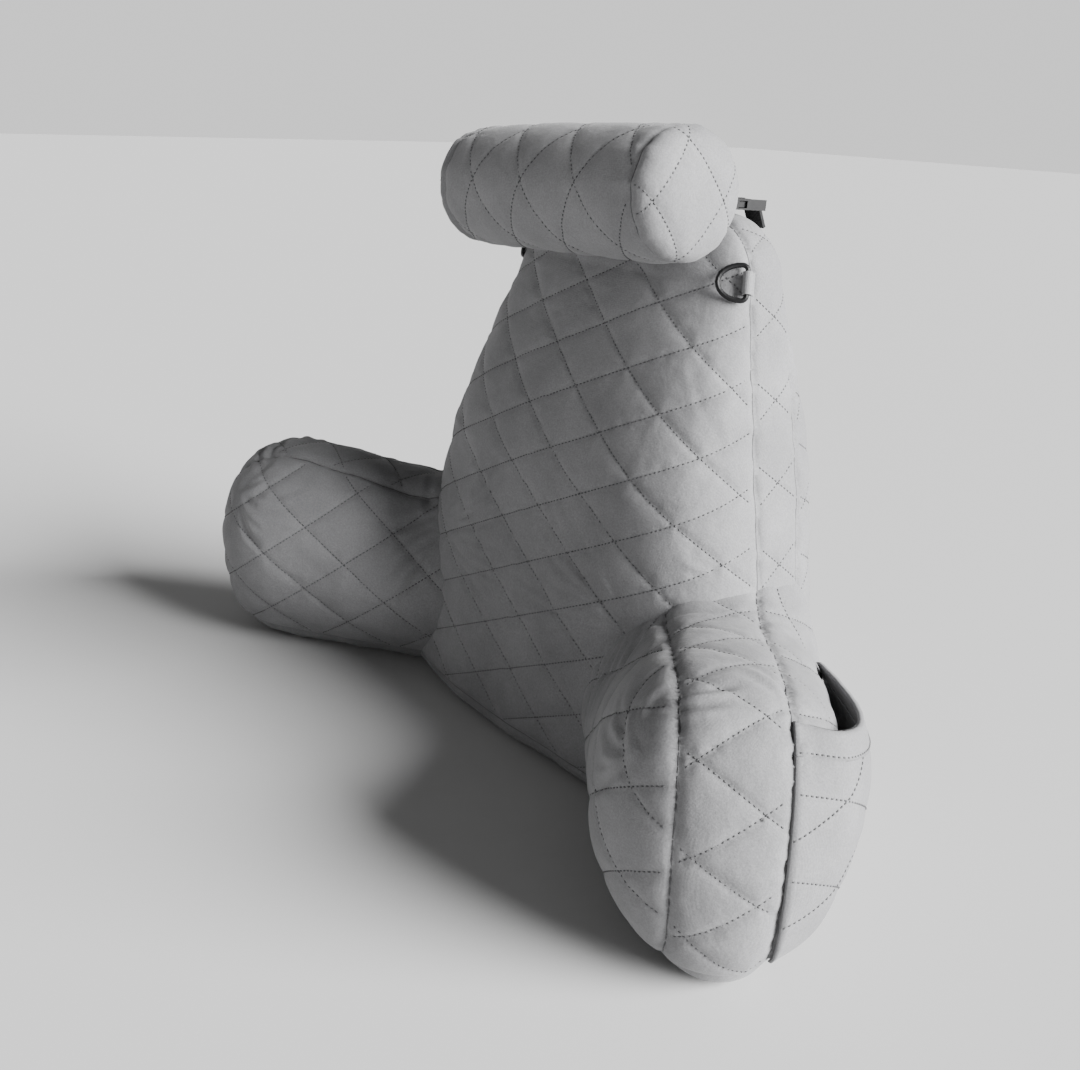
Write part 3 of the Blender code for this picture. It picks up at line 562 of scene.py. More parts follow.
def add_node(nodes, kind, **values):
    node = nodes.new(kind)
    for key, value in values.items():
        if key in node.inputs:
            node.inputs[key].default_value = value
        else:
            setattr(node, key, value)
    return node


def noise_node(nodes, links, scale, detail=3.0, roughness=0.5, stretch=None):
    """Noise in the object's own metres. stretch squeezes it along the axes."""
    source = add_node(nodes, "ShaderNodeTexCoord").outputs["Object"]
    if stretch:
        mapping = add_node(nodes, "ShaderNodeMapping", Scale=stretch)
        links.new(source, mapping.inputs["Vector"])
        source = mapping.outputs["Vector"]
    made = add_node(nodes, "ShaderNodeTexNoise", Scale=scale, Detail=detail, Roughness=roughness)
    links.new(source, made.inputs["Vector"])
    return made.outputs["Fac"]


def colour_ramp(nodes, links, source, *stops):
    """A grey ramp. Each stop is a position, the level of red and green, and the level of blue."""
    ramp = add_node(nodes, "ShaderNodeValToRGB")
    for element, (position, level, blue) in zip(ramp.color_ramp.elements, stops):
        element.position = position
        element.color = (level, level, blue, 1.0)
    links.new(source, ramp.inputs["Fac"])
    return ramp.outputs["Color"]


def chain_bumps(nodes, links, shader, heights):
    """Bump nodes in a row. Each is (height output, strength, distance)."""
    before = None
    for height, strength, distance in heights:
        bump = add_node(nodes, "ShaderNodeBump", Strength=strength, Distance=distance)
        links.new(height, bump.inputs["Height"])
        if before:
            links.new(before.outputs["Normal"], bump.inputs["Normal"])
        before = bump
    links.new(before.outputs["Normal"], shader.inputs["Normal"])


def weave_height(nodes, links, pitch):
    """Over and under threads from two crossed waves, in the object's own metres."""
    place = add_node(nodes, "ShaderNodeTexCoord")
    waves = []
    for turn in ((0.0, 0.0, 0.6), (0.0, math.pi / 2, 0.6)):
        mapping = add_node(nodes, "ShaderNodeMapping", Rotation=turn)
        wave = add_node(nodes, "ShaderNodeTexWave", Scale=0.314 / pitch, Distortion=1.2, Detail=1.0)
        wave.inputs["Detail Scale"].default_value = 3.0
        links.new(place.outputs["Object"], mapping.inputs["Vector"])
        links.new(mapping.outputs["Vector"], wave.inputs["Vector"])
        waves.append(wave.outputs["Fac"])
    product = add_node(nodes, "ShaderNodeMath", operation="MULTIPLY")
    links.new(waves[0], product.inputs[0])
    links.new(waves[1], product.inputs[1])
    return product.outputs["Value"]


def microfibre():
    """Grey brushed microfibre: soft blotches, a fine weave and a sheen."""
    made, nodes, links, shader = new_material("grey_microfibre", (0.17, 0.17, 0.174), 0.75)
    blotches = noise_node(nodes, links, 14.0, detail=5.0, roughness=0.6)
    grain = noise_node(nodes, links, 650.0, detail=3.0, roughness=0.75)
    mix = add_node(nodes, "ShaderNodeMix", data_type="RGBA", blend_type="MULTIPLY")
    mix.inputs["Factor"].default_value = 1.0
    links.new(colour_ramp(nodes, links, blotches, (0.3, 0.145, 0.149), (0.7, 0.195, 0.199)), mix.inputs[6])
    links.new(colour_ramp(nodes, links, grain, (0.3, 0.80, 0.80), (0.7, 1.16, 1.16)), mix.inputs[7])
    links.new(mix.outputs[2], shader.inputs["Base Color"])
    shader.inputs["Sheen Weight"].default_value = 0.12
    shader.inputs["Sheen Roughness"].default_value = 0.45
    shader.inputs["Specular IOR Level"].default_value = 0.35
    crumple = noise_node(nodes, links, 75.0, detail=5.0, roughness=0.6)
    weave = weave_height(nodes, links, 0.0009)
    heights = [(crumple, 0.55, 0.0016), (weave, 0.25, 0.00025), (grain, 0.3, 0.0002)]
    chain_bumps(nodes, links, shader, heights)
    return made


def grained(name, colour, roughness, grain, socket, stops, bump, metallic=0.0, weave=None, **levels):
    """A material with one fine noise in its colour or roughness, and a bump of that noise or of a weave."""
    made, nodes, links, shader = new_material(name, colour, roughness, metallic)
    for key, level in levels.items():
        shader.inputs[key].default_value = level
    texture = noise_node(nodes, links, **grain)
    links.new(colour_ramp(nodes, links, texture, *stops), shader.inputs[socket])
    height = weave_height(nodes, links, weave) if weave else texture
    chain_bumps(nodes, links, shader, [(height, *bump)])
    return made


FABRIC = microfibre()

# Polyester thread with its twist, painted darker than the cover: its dark colour is painted shade of the needle
# dimples, which the mesh is too coarse to hold
twist = {"scale": 1500.0, "detail": 1.0}
tones = ((0.35, 0.035, 0.036), (0.65, 0.075, 0.078))
THREAD_WITH_PAINTED_SHADE = grained("quilting_thread_painted_shade", (0.06, 0.06, 0.062), 0.6, twist, "Base Color", tones, (0.4, 0.0001))

# Black polypropylene webbing with a ribbed weave
matt = {"Sheen Weight": 0.05, "Specular IOR Level": 0.2}
fibres = {"scale": 700.0, "detail": 2.0}
tones = ((0.35, 0.006, 0.0065), (0.7, 0.013, 0.014))
black = (0.008, 0.008, 0.009)
WEBBING = grained("woven_webbing", black, 0.7, fibres, "Base Color", tones, (0.8, 0.0005), weave=0.0016, **matt)

# Satin black acetal with faint mould texture
satin = {"Specular IOR Level": 0.2}
mould = {"scale": 260.0, "detail": 3.0}
wear = ((0.3, 0.36, 0.36), (0.75, 0.52, 0.52))
black = (0.007, 0.007, 0.0075)
PLASTIC = grained("satin_black_plastic", black, 0.4, mould, "Roughness", wear, (0.12, 0.0002), **satin)

# Grey woven tape
fibres = {"scale": 500.0, "detail": 2.0}
tones = ((0.35, 0.12, 0.124), (0.7, 0.19, 0.195))
grey = (0.16, 0.16, 0.165)
ZIP_TAPE = grained("zip_tape_weave", grey, 0.75, fibres, "Base Color", tones, (0.6, 0.0003), weave=0.0008)

# Dark nickel with fine scratches
scratches = {"scale": 400.0, "detail": 4.0, "stretch": (1.0, 1.0, 0.1)}
wear = ((0.3, 0.22, 0.22), (0.7, 0.4, 0.4))
ZIP_METAL = grained("dark_nickel", (0.34, 0.34, 0.35), 0.3, scratches, "Roughness", wear, (0.1, 0.0001), 1.0)


def add_threads(name, lines, body, seams=()):
    """The quilting's stitches, and the seams' sunk threads, as one object."""
    points, faces = stitch_mesh(lines)
    more_points, more_faces = cord_mesh(seams, SEAM_THREAD)
    faces += [tuple(i + len(points) for i in face) for face in more_faces]
    points += more_points
    # The thread's dark colour is painted shade of the needle dimples, on the stitches and the seam cords alike.
    made = new_object(name, mesh_of(name, points, faces), THREAD_WITH_PAINTED_SHADE)
    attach(made, body)
    return made


def quilted_cushion(name, shape, seams, patches, relief, body):
    """A cushion from its smooth shape, quilted, and its threads."""
    mesh = even_mesh(name, *shape)
    lines, seam_lines = quilt(mesh, seams, patches, relief)
    cushion = new_object(name, mesh, FABRIC)
    return cushion, add_threads(name.replace("cushion", "threads"), lines, body, seam_lines)


def diamond_fields(coordinates, node, width=DIAMOND_WIDTH, height=DIAMOND_HEIGHT):
    """The two families of a diamond pattern, as functions that are whole numbers on its lines."""
    spacing = 1 / math.hypot(1 / width, 1 / height)

    def family(turn):
        def field(points):
            u, v = coordinates(points)
            return (u - node[0]) / width + turn * (v - node[1]) / height

        return field, spacing

    return [family(1), family(-1)]


def turned_fields(coordinates, families):
    """Line families given by spacing, direction of the normal in degrees, and phase."""

    def family(spacing, degrees, phase):
        c, s = math.cos(math.radians(degrees)), math.sin(math.radians(degrees))

        def field(points):
            u, v = coordinates(points)
            return (u * c + v * s) / spacing + phase

        return field, spacing

    return [family(*row) for row in families]


def nearest_line(points, fields):
    """Distance from each point to the nearest quilting line."""
    nearest = np.full(len(points), FAR)
    for field, spacing in fields:
        value = field(points)
        nearest = np.minimum(nearest, np.abs(value - np.round(value)) * spacing)
    return nearest


def trace_fields(points, normals, faces, fields, at, inside):
    """The quilting lines over the quads, a hair's breadth off the points that were snapped onto them."""
    lines = []
    for field, _ in fields:
        lines += trace_lines(points, normals, faces, field(at) + 0.0011, inside)
    return lines


def quilt(mesh, seams, patches, relief):
    """Snaps the mesh to its seams and quilting lines and presses them in.

    seams are signed distances. patches are (where, fields, depth). relief adds any other height.
    It returns the lines for the stitching and the seams.
    """
    points = read(mesh.vertices, "co", 3).astype(float)
    edges = read(mesh.edges, "vertices", 2, np.int32)
    frozen = np.zeros(len(points), bool)
    for seam, where in seams:
        frozen |= snap_to_zero(points, edges, seam, frozen, where(points))
    for where, fields, _ in patches:
        inside = where(points)
        for field, _ in fields:
            frozen |= snap_to_lines(points, edges, field, frozen, inside)
    write_points(mesh, points)
    normals = read_normals(mesh)
    height = relief(points)
    near_seam = np.full(len(points), FAR)
    for seam, where in seams:
        distance = np.where(where(points), np.abs(seam(points)), FAR)
        near_seam = np.minimum(near_seam, distance)
    height += press_lines(near_seam, SEAM_DEPTH, SEAM_FALL)
    for where, fields, depth in patches:
        nearest = nearest_line(points, fields)
        pressed = press_lines(nearest, depth, QUILT_FALL)
        pressed = pressed + 0.45 * depth * smooth_step(0.0, CROWN_REACH, nearest)
        pressed += PUCKER_HEIGHT * noise(points, PUCKER_SIZE, 71) * np.exp(-nearest / PUCKER_FALL)
        height += np.where(where(points), pressed * smooth_step(0.0, SEAM_FADE, near_seam), 0.0)
    moved = points + normals * height[:, None]
    moved[:, 2] = np.maximum(moved[:, 2], 0.0)
    write_points(mesh, moved)
    normals = read_normals(mesh)
    faces = np.array([p.vertices[:] for p in mesh.polygons if len(p.vertices) == 4])
    lines, seam_lines = [], []
    for where, fields, _ in patches:
        inside = where(points) & (near_seam > STITCH_MARGIN)
        lines += trace_fields(moved, normals, faces, fields, points, inside)
    for seam, where in seams:
        # A number that is whole only on the seam, and again a hair's breadth off its points
        value = np.clip(seam(points) / 0.05, -0.4, 0.4) + 1.0005
        seam_lines += trace_lines(moved, normals, faces, value, where(points))
    return lines, seam_lines


# The backrest


def rounded_edge(radius, distance):
    return radius - np.sqrt(np.maximum(radius**2 - distance**2, 0.0))


def half_width(z):
    z = np.asarray(z, float)
    width = BOTTOM_HALF_WIDTH + (TOP_HALF_WIDTH - BOTTOM_HALF_WIDTH) * z / BACKREST_HEIGHT
    over = np.clip(z - BACKREST_HEIGHT + CORNER_RADIUS, 0.0, CORNER_RADIUS)
    under = np.clip(UNDER_RADIUS - z, 0.0, UNDER_RADIUS)
    return width - rounded_edge(CORNER_RADIUS, over) - rounded_edge(UNDER_RADIUS, under)


def half_depth(z):
    z = np.asarray(z, float)
    top = BACKREST_HEIGHT - TOP_RADIUS
    share = np.clip((z - TAPER_HEIGHT) / (top - TAPER_HEIGHT), 0.0, 1.0)
    depth = HALF_DEPTH + (TOP_RADIUS - HALF_DEPTH) * share**TAPER_POWER
    over = np.clip(z - top, 0.0, TOP_RADIUS)
    under = np.clip(UNDER_RADIUS - z, 0.0, UNDER_RADIUS)
    depth = depth - rounded_edge(TOP_RADIUS, over) - rounded_edge(UNDER_RADIUS, under)
    return np.maximum(depth, TOP_EDGE_HALF)


def centre_y(z):
    return BASE_CENTRE_Y + LEAN * np.asarray(z, float)


def ellipse_ring(half_x, half_y, power, count):
    turn = 2 * np.pi * np.arange(count) / count
    c, s = np.cos(turn), np.sin(turn)
    return half_x * np.sign(c) * np.abs(c) ** (2 / power), half_y * np.sign(s) * np.abs(s) ** (2 / power)


def backrest_shape():
    under = UNDER_RADIUS * (1 - np.cos(np.linspace(0, math.pi / 2, 8)))
    top = BACKREST_HEIGHT - TOP_RADIUS
    sides = np.linspace(UNDER_RADIUS, top, 110)[1:]
    over = top + TOP_RADIUS * np.sin(np.linspace(0, math.pi / 2, 32))[1:]
    rings = []
    for z in np.concatenate([under, sides, over]):
        x, y = ellipse_ring(half_width(z), half_depth(z), SECTION_POWER, 320)
        rings.append(np.stack([x, centre_y(z) + y, np.full_like(x, z)], axis=1))
    return loft(rings)


def arc_table():
    """Length along the backrest's section from its front middle, by height and by share of the turn."""
    heights = np.linspace(0.0, BACKREST_HEIGHT, 60)
    turns = np.linspace(0.0, math.pi / 2, 200)
    table = []
    for z in heights:
        x = half_width(z) * np.sin(turns) ** (2 / SECTION_POWER)
        y = half_depth(z) * np.cos(turns) ** (2 / SECTION_POWER)
        table.append(np.concatenate([[0], np.cumsum(np.hypot(np.diff(x), np.diff(y)))]))
    return heights, turns, np.array(table)


ARC_HEIGHTS, ARC_TURNS, ARC_TABLE = arc_table()


def across_backrest(points):
    """Length along the cover from the middle of the front or the back panel."""
    x, z = points[:, 0], np.clip(points[:, 2], 0.0, BACKREST_HEIGHT - 1e-6)
    depth = points[:, 1] - centre_y(z)
    s = np.clip(np.abs(x) / half_width(z), 0, 1) ** (SECTION_POWER / 2)
    c = np.clip(np.abs(depth) / half_depth(z), 0, 1) ** (SECTION_POWER / 2)
    turn = np.arctan2(s, c)
    row = z / BACKREST_HEIGHT * (len(ARC_HEIGHTS) - 1)
    column = turn / (math.pi / 2) * (len(ARC_TURNS) - 1)
    r, k = row.astype(int), np.minimum(column.astype(int), len(ARC_TURNS) - 2)
    up, on = row - r, column - k
    low = ARC_TABLE[r, k] * (1 - on) + ARC_TABLE[r, k + 1] * on
    high = ARC_TABLE[r + 1, k] * (1 - on) + ARC_TABLE[r + 1, k + 1] * on
    return np.sign(x) * (low * (1 - up) + high * up)


def depth_of(points):
    return points[:, 1] - centre_y(points[:, 2])


def panel_coordinates(points):
    return across_backrest(points), points[:, 2]


def boxing_coordinates(points):
    """Across the strip, and up it, then on over the top towards the middle."""
    top = np.clip((points[:, 2] - BACKREST_HEIGHT + CORNER_RADIUS) / CORNER_RADIUS, 0, 1)
    run = points[:, 2] + top * np.clip(TOP_HALF_WIDTH - np.abs(points[:, 0]), 0, None)
    return depth_of(points), run


def ring_place():
    """Middle of the right D-ring, which the cover stays clear of."""
    low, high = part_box("d_ring_right")
    return np.array((low + high) / 2)


def backrest_relief(points):
    """Soft waves, folds where each arm pulls at the front, puckers at the seams, and flat round the zip."""
    x, z, depth = points[:, 0], points[:, 2], depth_of(points)
    side = np.abs(x)
    height = waves(points, BACKREST_WAVES)
    q = np.stack([np.abs(across_backrest(points)), z], axis=1)
    height += np.where(depth < -BOXING_FRONT, fan_folds(q, BACKREST_FANS), 0.0)
    for seam, seed in ((-BOXING_FRONT, 21), (BOXING_BACK, 22)):
        along = np.stack([z + 0.7 * side, np.sign(x) * 0.01], axis=1)
        height += seam_puckers(np.abs(depth - seam), along, seed, BACKREST_PUCKERS)
    height += base_band(z)
    ring = ring_place()
    near_ring = np.linalg.norm(np.stack([side - ring[0], points[:, 1] - ring[1], z - ring[2]], 1), axis=1)
    height = np.where(height > 0, height * smooth_step(*RING_FADE, near_ring), height)
    zip_zone = (1 - smooth_step(*ZIP_FADE_SIDE, side)) * smooth_step(*ZIP_FADE_FOOT, z)
    zip_zone *= (1 - smooth_step(*ZIP_FADE_HEAD, z)) * (depth > 0)
    return height * (1 - zip_zone) - ZIP_SINK * zip_zone


def build_backrest():
    seams = [
        (lambda p: depth_of(p) + BOXING_FRONT, above_base),
        (lambda p: depth_of(p) - BOXING_BACK, above_base),
        (base_seam, everywhere),
    ]
    front_lines = turned_fields(panel_coordinates, ((0.0496, 57.7, -0.388), (0.0481, -64.8, 0.354)))
    back_lines = turned_fields(panel_coordinates, ((0.0496, 57.7, 0.1), (0.0481, -64.8, 0.2)))
    boxing_lines = diamond_fields(boxing_coordinates, (0.012, 0.020))

    def front(p):
        return (depth_of(p) < -BOXING_FRONT - SEAM_MARGIN) & above_base(p)

    def back(p):
        zip_zone = (np.abs(p[:, 0]) < ZIP_CLEAR_SIDE) & (p[:, 2] < ZIP_CLEAR_HEAD)
        return (depth_of(p) > BOXING_BACK + SEAM_MARGIN) & above_base(p) & ~zip_zone

    def boxing(p):
        depth = depth_of(p)
        return (depth > -BOXING_FRONT + SEAM_MARGIN) & (depth < BOXING_BACK - SEAM_MARGIN) & above_base(p)

    patches = [
        (front, front_lines, QUILT_DEPTH),
        (back, back_lines, QUILT_DEPTH),
        (boxing, boxing_lines, QUILT_DEPTH * 0.7),
    ]
    shape = backrest_shape()
    cushion, _ = quilted_cushion("backrest_cushion", shape, seams, patches, backrest_relief, "root")
    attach(cushion, "root")
    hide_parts("front_panel", "boxing_strip", "back_panel", "base_panel", "backrest_fill")


# The arms


def arm_axes(side):
    along = np.array([side * math.sin(ARM_SPLAY), -math.cos(ARM_SPLAY), 0.0])
    outward = np.array([side * math.cos(ARM_SPLAY), math.sin(ARM_SPLAY), 0.0])
    root = np.array([side * ARM_ROOT_X, ARM_ROOT_Y, 0.0])
    return root, along, outward


def arm_local(points, side):
    root, along, outward = arm_axes(side)
    return (points - root) @ along, (points - root) @ outward, points[:, 2]


def arm_world(s, n, z, side):
    root, along, outward = arm_axes(side)
    flat = root + np.outer(s, along) + np.outer(n, outward)
    flat[:, 2] = z
    return flat


def arm_section(s):
    s = np.asarray(s, float)
    share = np.clip(s / ARM_LENGTH, 0.0, 1.0)
    width = ARM_HALF_WIDTH_ROOT + (ARM_HALF_WIDTH_END - ARM_HALF_WIDTH_ROOT) * share
    flare = ARM_FLARE * np.clip(1 - s / ARM_FLARE_LENGTH, 0.0, 1.0) ** 2
    high = ARM_HEIGHT_ROOT + (ARM_HEIGHT_END - ARM_HEIGHT_ROOT) * share + flare
    low = np.full_like(high, -ARM_SINK)
    q = np.clip((s - ARM_LENGTH + ARM_END_ROUND) / ARM_END_ROUND, 0.0, 1.0)
    rear = np.clip((ARM_REAR_ROUND - ARM_ROOT_INSIDE - s) / ARM_REAR_ROUND, 0.0, 1.0)
    middle = ARM_WIDEST * (low + high)
    return (
        width * round_off(q, ARM_END_POWER) * round_off(rear, ARM_REAR_POWER),
        middle + (low - middle) * round_off(q, ARM_END_UNDER_POWER),
        middle + (high - middle) * round_off(q, ARM_END_TOP_POWER),
    )


def arm_side(s, z):
    width, low, high = arm_section(s)
    up = z - (high + low) / 2
    power = np.where(up > 0, ARM_UPPER_POWER, ARM_LOWER_POWER)
    share = np.abs(up) / np.maximum((high - low) / 2, 1e-6)
    return width * np.maximum(1 - share**power, 0.0) ** (1 / power)


def arm_shape(side):
    rear_middle = ARM_REAR_ROUND - ARM_ROOT_INSIDE
    rear = rear_middle - ARM_REAR_ROUND * np.sin(np.radians(np.linspace(78, 0, 14)))
    start = ARM_LENGTH - ARM_END_ROUND
    body = np.linspace(rear_middle, start, 40)[1:]
    front = start + ARM_END_ROUND * np.sin(np.radians(np.linspace(0, 88.5, 40)))[1:]
    rings = []
    count = 240
    for s in np.concatenate([rear, body, front]):
        width, low, high = arm_section(s)
        turn = 2 * np.pi * (np.arange(count) + 0.5) / count
        power = np.where(turn < math.pi, ARM_UPPER_POWER, ARM_LOWER_POWER)
        c, v = np.cos(turn), np.sin(turn)
        n = width * np.sign(c) * np.abs(c) ** (2 / power)
        z = (high + low) / 2 + (high - low) / 2 * np.sign(v) * np.abs(v) ** (2 / power)
        # Near the backrest the inner panel leans in, up to the point where its seam starts.
        lean = np.where(n < 0, 1 - smooth_step(*LEAN_RANGE_ALONG, s), 0.0) * smooth_step(*LEAN_RANGE_UP, z)
        n = n * (1 - ARM_INNER_LEAN * lean)
        rings.append(arm_world(np.full(count, s), n, np.maximum(z, 0.0), side))
    return loft(rings)


STRIP_PIVOT = (0.200, 0.110)


def strip_table():
    """Length along the gusset's middle line, by the turn round its pivot."""
    s = np.linspace(STRIP_PIVOT[0], ARM_LENGTH - 1e-5, 400)
    _, low, high = arm_section(s)
    line = np.concatenate([np.stack([s, high], 1), np.stack([s, low], 1)[::-1]])
    turn = np.arctan2(line[:, 0] - STRIP_PIVOT[0], line[:, 1] - STRIP_PIVOT[1])
    run = np.concatenate([[0], np.cumsum(np.linalg.norm(np.diff(line, axis=0), axis=1))])
    return turn, run


STRIP_TURN, STRIP_RUN = strip_table()


def strip_length(s, z):
    turn = np.arctan2(np.maximum(s - STRIP_PIVOT[0], 0.0), z - STRIP_PIVOT[1])
    return np.where(s < STRIP_PIVOT[0], s, STRIP_PIVOT[0] + np.interp(turn, STRIP_TURN, STRIP_RUN))


def arm_relief(side):
    def relief(points):
        """Soft waves, a crown on each panel, pulled folds, and puckers at the seams."""
        s, n, z = arm_local(points, side)
        run = strip_length(s, z)
        edge = GUSSET_WIDTH / 2
        height = waves(points, ARM_WAVES)
        crown = np.clip(1 - (n / edge) ** 2, 0, 1)
        height += np.where(np.abs(n) < edge, 2.2 * MM * crown, 1.0 * MM)
        height += np.where(z > 0.03, folds(np.stack([n, run], axis=1), GUSSET_FOLDS), 0.0)
        q = np.stack([s, z], axis=1)
        height += np.where(n < -edge, fan_folds(q, ARM_INNER_FANS), 0.0)
        height += np.where(n > edge, fan_folds(q, ARM_OUTER_FANS), 0.0)
        along = np.stack([run, np.zeros_like(run)], axis=1)
        for seam, seed in ((-edge, 41), (edge, 42)):
            height += seam_puckers(np.abs(n - seam), along, seed, ARM_PUCKERS)
        return height + base_band(z)

    return relief


def build_arm(label, side):
    edge = GUSSET_WIDTH / 2
    seams = [
        (lambda p: arm_local(p, side)[1] - edge, above_base),
        (lambda p: arm_local(p, side)[1] + edge, above_base),
        (base_seam, everywhere),
    ]

    def strip_coordinates(p):
        s, n, z = arm_local(p, side)
        return n, strip_length(s, z)

    def side_coordinates(p):
        s, _, z = arm_local(p, side)
        return s, z

    node_run = float(strip_length(np.array([0.313]), np.array([0.155]))[0])
    strip_lines = diamond_fields(strip_coordinates, (0.021, node_run))
    side_lines = diamond_fields(side_coordinates, SIDE_NODE)

    def strip(p):
        return (np.abs(arm_local(p, side)[1]) < edge - SEAM_MARGIN) & above_base(p)

    def panels(p):
        return (np.abs(arm_local(p, side)[1]) > edge + SEAM_MARGIN) & above_base(p)

    patches = [(strip, strip_lines, QUILT_DEPTH), (panels, side_lines, QUILT_DEPTH)]
    name = f"arm_cushion_{label}"
    cushion, _ = quilted_cushion(name, arm_shape(side), seams, patches, arm_relief(side), "root")
    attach(cushion, "root")
    panels_of = ("inner_panel", "gusset", "outer_panel", "base_panel", "fill")
    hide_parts(*[f"arm_{piece}_{label}" for piece in panels_of])


def pocket_front(z):
    """Where along the arm the outer seam passes these heights, on the arm's front end."""
    low, high = np.full_like(z, ARM_LENGTH - ARM_END_ROUND), np.full_like(z, ARM_LENGTH)
    for _ in range(30):
        s = (low + high) / 2
        wide = arm_side(s, z) > GUSSET_WIDTH / 2 + POCKET_FRONT_MARGIN
        low, high = np.where(wide, s, low), np.where(wide, high, s)
    return low


def pocket_top(u):
    """The mouth runs level from the rear, then up to where its front corner is caught in the seam."""
    return POCKET_TOP + POCKET_FRONT_RISE * u**POCKET_RISE_POWER


def pocket_sheet(name, side, low_edge, high_edge, thickness, rows, relief):
    """A closed sheet that follows the arm's side and gapes at the mouth.

    The edges give its heights by the share u from its rear to its front. relief(s, z) lifts its outside.
    """
    inner, outer = [], []
    u = np.linspace(0, 1, POCKET_COLUMNS + 1)
    for i in range(rows + 1):
        z = low_edge(u) + (high_edge(u) - low_edge(u)) * i / rows
        v = (z - BASE_RISE) / (pocket_top(u) - BASE_RISE)
        s = POCKET_START + (pocket_front(z) - POCKET_START) * u
        rise = np.maximum(v - POCKET_SHUT, 0.0) / (1 - POCKET_SHUT)
        gape = POCKET_MOUTH * np.sin(np.pi * u) ** MOUTH_ACROSS_POWER * rise**MOUTH_UP_POWER
        # The front edge is caught in the arm's seam, so there it lies flat and faces forwards.
        tuck = smooth_step(0.86, 1.0, u)
        facing = math.radians(55) * smooth_step(0.6, 1.0, u)
        n = arm_side(s, z)
        for grid, lift in (
            (inner, (POCKET_REST + gape) * (1 - tuck) - 1.6 * MM * tuck),
            (outer, (POCKET_REST + gape + thickness + relief(s, z)) * (1 - tuck) + 0.8 * MM * tuck),
        ):
            grid.append(arm_world(s + lift * np.sin(facing), n + lift * np.cos(facing), z, side))
    inner, outer = np.array(inner), np.array(outer)
    r, c = inner.shape[:2]
    points = np.concatenate([inner.reshape(-1, 3), outer.reshape(-1, 3)])
    faces = []
    back = r * c
    for i in range(r - 1):
        for j in range(c - 1):
            a, b, d, e = i * c + j, i * c + j + 1, (i + 1) * c + j + 1, (i + 1) * c + j
            faces += [(a, b, d, e), (back + e, back + d, back + b, back + a)]
    rim = [(0, j) for j in range(c)] + [(i, c - 1) for i in range(1, r)]
    rim += [(r - 1, j) for j in range(c - 2, -1, -1)] + [(i, 0) for i in range(r - 2, 0, -1)]
    for (a, b), (d, e) in zip(rim, rim[1:] + rim[:1]):
        faces.append((a * c + b, back + a * c + b, back + d * c + e, d * c + e))
    mesh = mesh_of(name, points, faces)
    turn_faces_out(mesh)
    made = new_object(name, mesh, FABRIC)
    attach(made, "root")
    return made, outer


def build_pocket(label, side):
    def hem_edge(u):
        return pocket_top(u) - HEM_HEIGHT

    def bottom(u):
        return np.full_like(u, BASE_RISE + GAP)

    fields = diamond_fields(lambda p: (p[:, 0], p[:, 1]), SIDE_NODE)

    def relief(s, z):
        q = np.stack([s, z], axis=1)
        nearest = nearest_line(q, fields)
        height = press_lines(nearest, 1.4 * MM, QUILT_FALL)
        height = height + 0.7 * MM * smooth_step(0.0, CROWN_REACH, nearest)
        return height + 0.8 * MM * noise(q, 0.03, 51) + 0.5 * MM

    def plain(s, z):
        return 0.3 * MM * noise(np.stack([s, z], axis=1), 0.012, 52)

    def under_hem(u):
        return hem_edge(u) + 0.001

    name = f"pocket_cover_{label}"
    panel, outer = pocket_sheet(name, side, bottom, under_hem, PANEL_THICKNESS, POCKET_ROWS, relief)
    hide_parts(f"pocket_panel_{label}")
    name = f"pocket_hem_band_{label}"
    hem, hem_outer = pocket_sheet(name, side, hem_edge, pocket_top, HEM_THICKNESS, HEM_ROWS, plain)
    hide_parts(f"pocket_hem_{label}")
    # Stitching along the diamonds and along the foot of the hem.
    points = outer.reshape(-1, 3)
    grid = np.arange(len(points)).reshape(outer.shape[:2])
    faces = np.stack([grid[:-1, :-1], grid[:-1, 1:], grid[1:, 1:], grid[1:, :-1]], axis=-1).reshape(-1, 4)
    s, _, z = arm_local(points, side)
    q = np.stack([s, z], axis=1)
    lines = trace_fields(points, grid_normals(outer, side), faces, fields, q, everywhere(q))
    hem_normals = grid_normals(hem_outer, side).reshape(hem_outer.shape)
    lines.append((hem_outer[1], hem_normals[1]))
    add_threads(f"pocket_threads_{label}", lines, "root")


def grid_normals(grid, side):
    """Normals of a grid of points, pointing away from the arm."""
    along, up = np.gradient(grid, axis=1), np.gradient(grid, axis=0)
    normals = np.cross(along, up).reshape(-1, 3)
    outward = arm_axes(side)[2]
    normals *= np.sign(normals @ outward)[:, None]
    return normals / np.linalg.norm(normals, axis=1)[:, None]


# The neck roll


def roll_middle():
    low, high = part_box("roll_tube")
    return np.array((low + high) / 2)


def roll_shape():
    centre = roll_middle()
    rows = [(x, ROLL_RADIUS) for x in np.linspace(0, ROLL_SEAM, 40)]
    for turn in np.linspace(0, math.pi / 2, 26)[1:-1]:
        share = math.sin(turn)
        rows.append((ROLL_SEAM + ROLL_DOME * share, ROLL_RADIUS * round_off(share, DOME_POWER)))
    rows = [(-x, radius) for x, radius in rows[::-1]] + rows[1:]
    count = 160
    turn = 2 * np.pi * np.arange(count) / count
    around = np.stack([np.zeros(count), np.cos(turn), np.sin(turn)], axis=1)
    return loft([centre + (x, 0, 0) + radius * around for x, radius in rows])


def roll_local(points):
    p = points - roll_middle()
    return p[:, 0], np.arctan2(p[:, 2], -p[:, 1]), np.hypot(p[:, 1], p[:, 2])


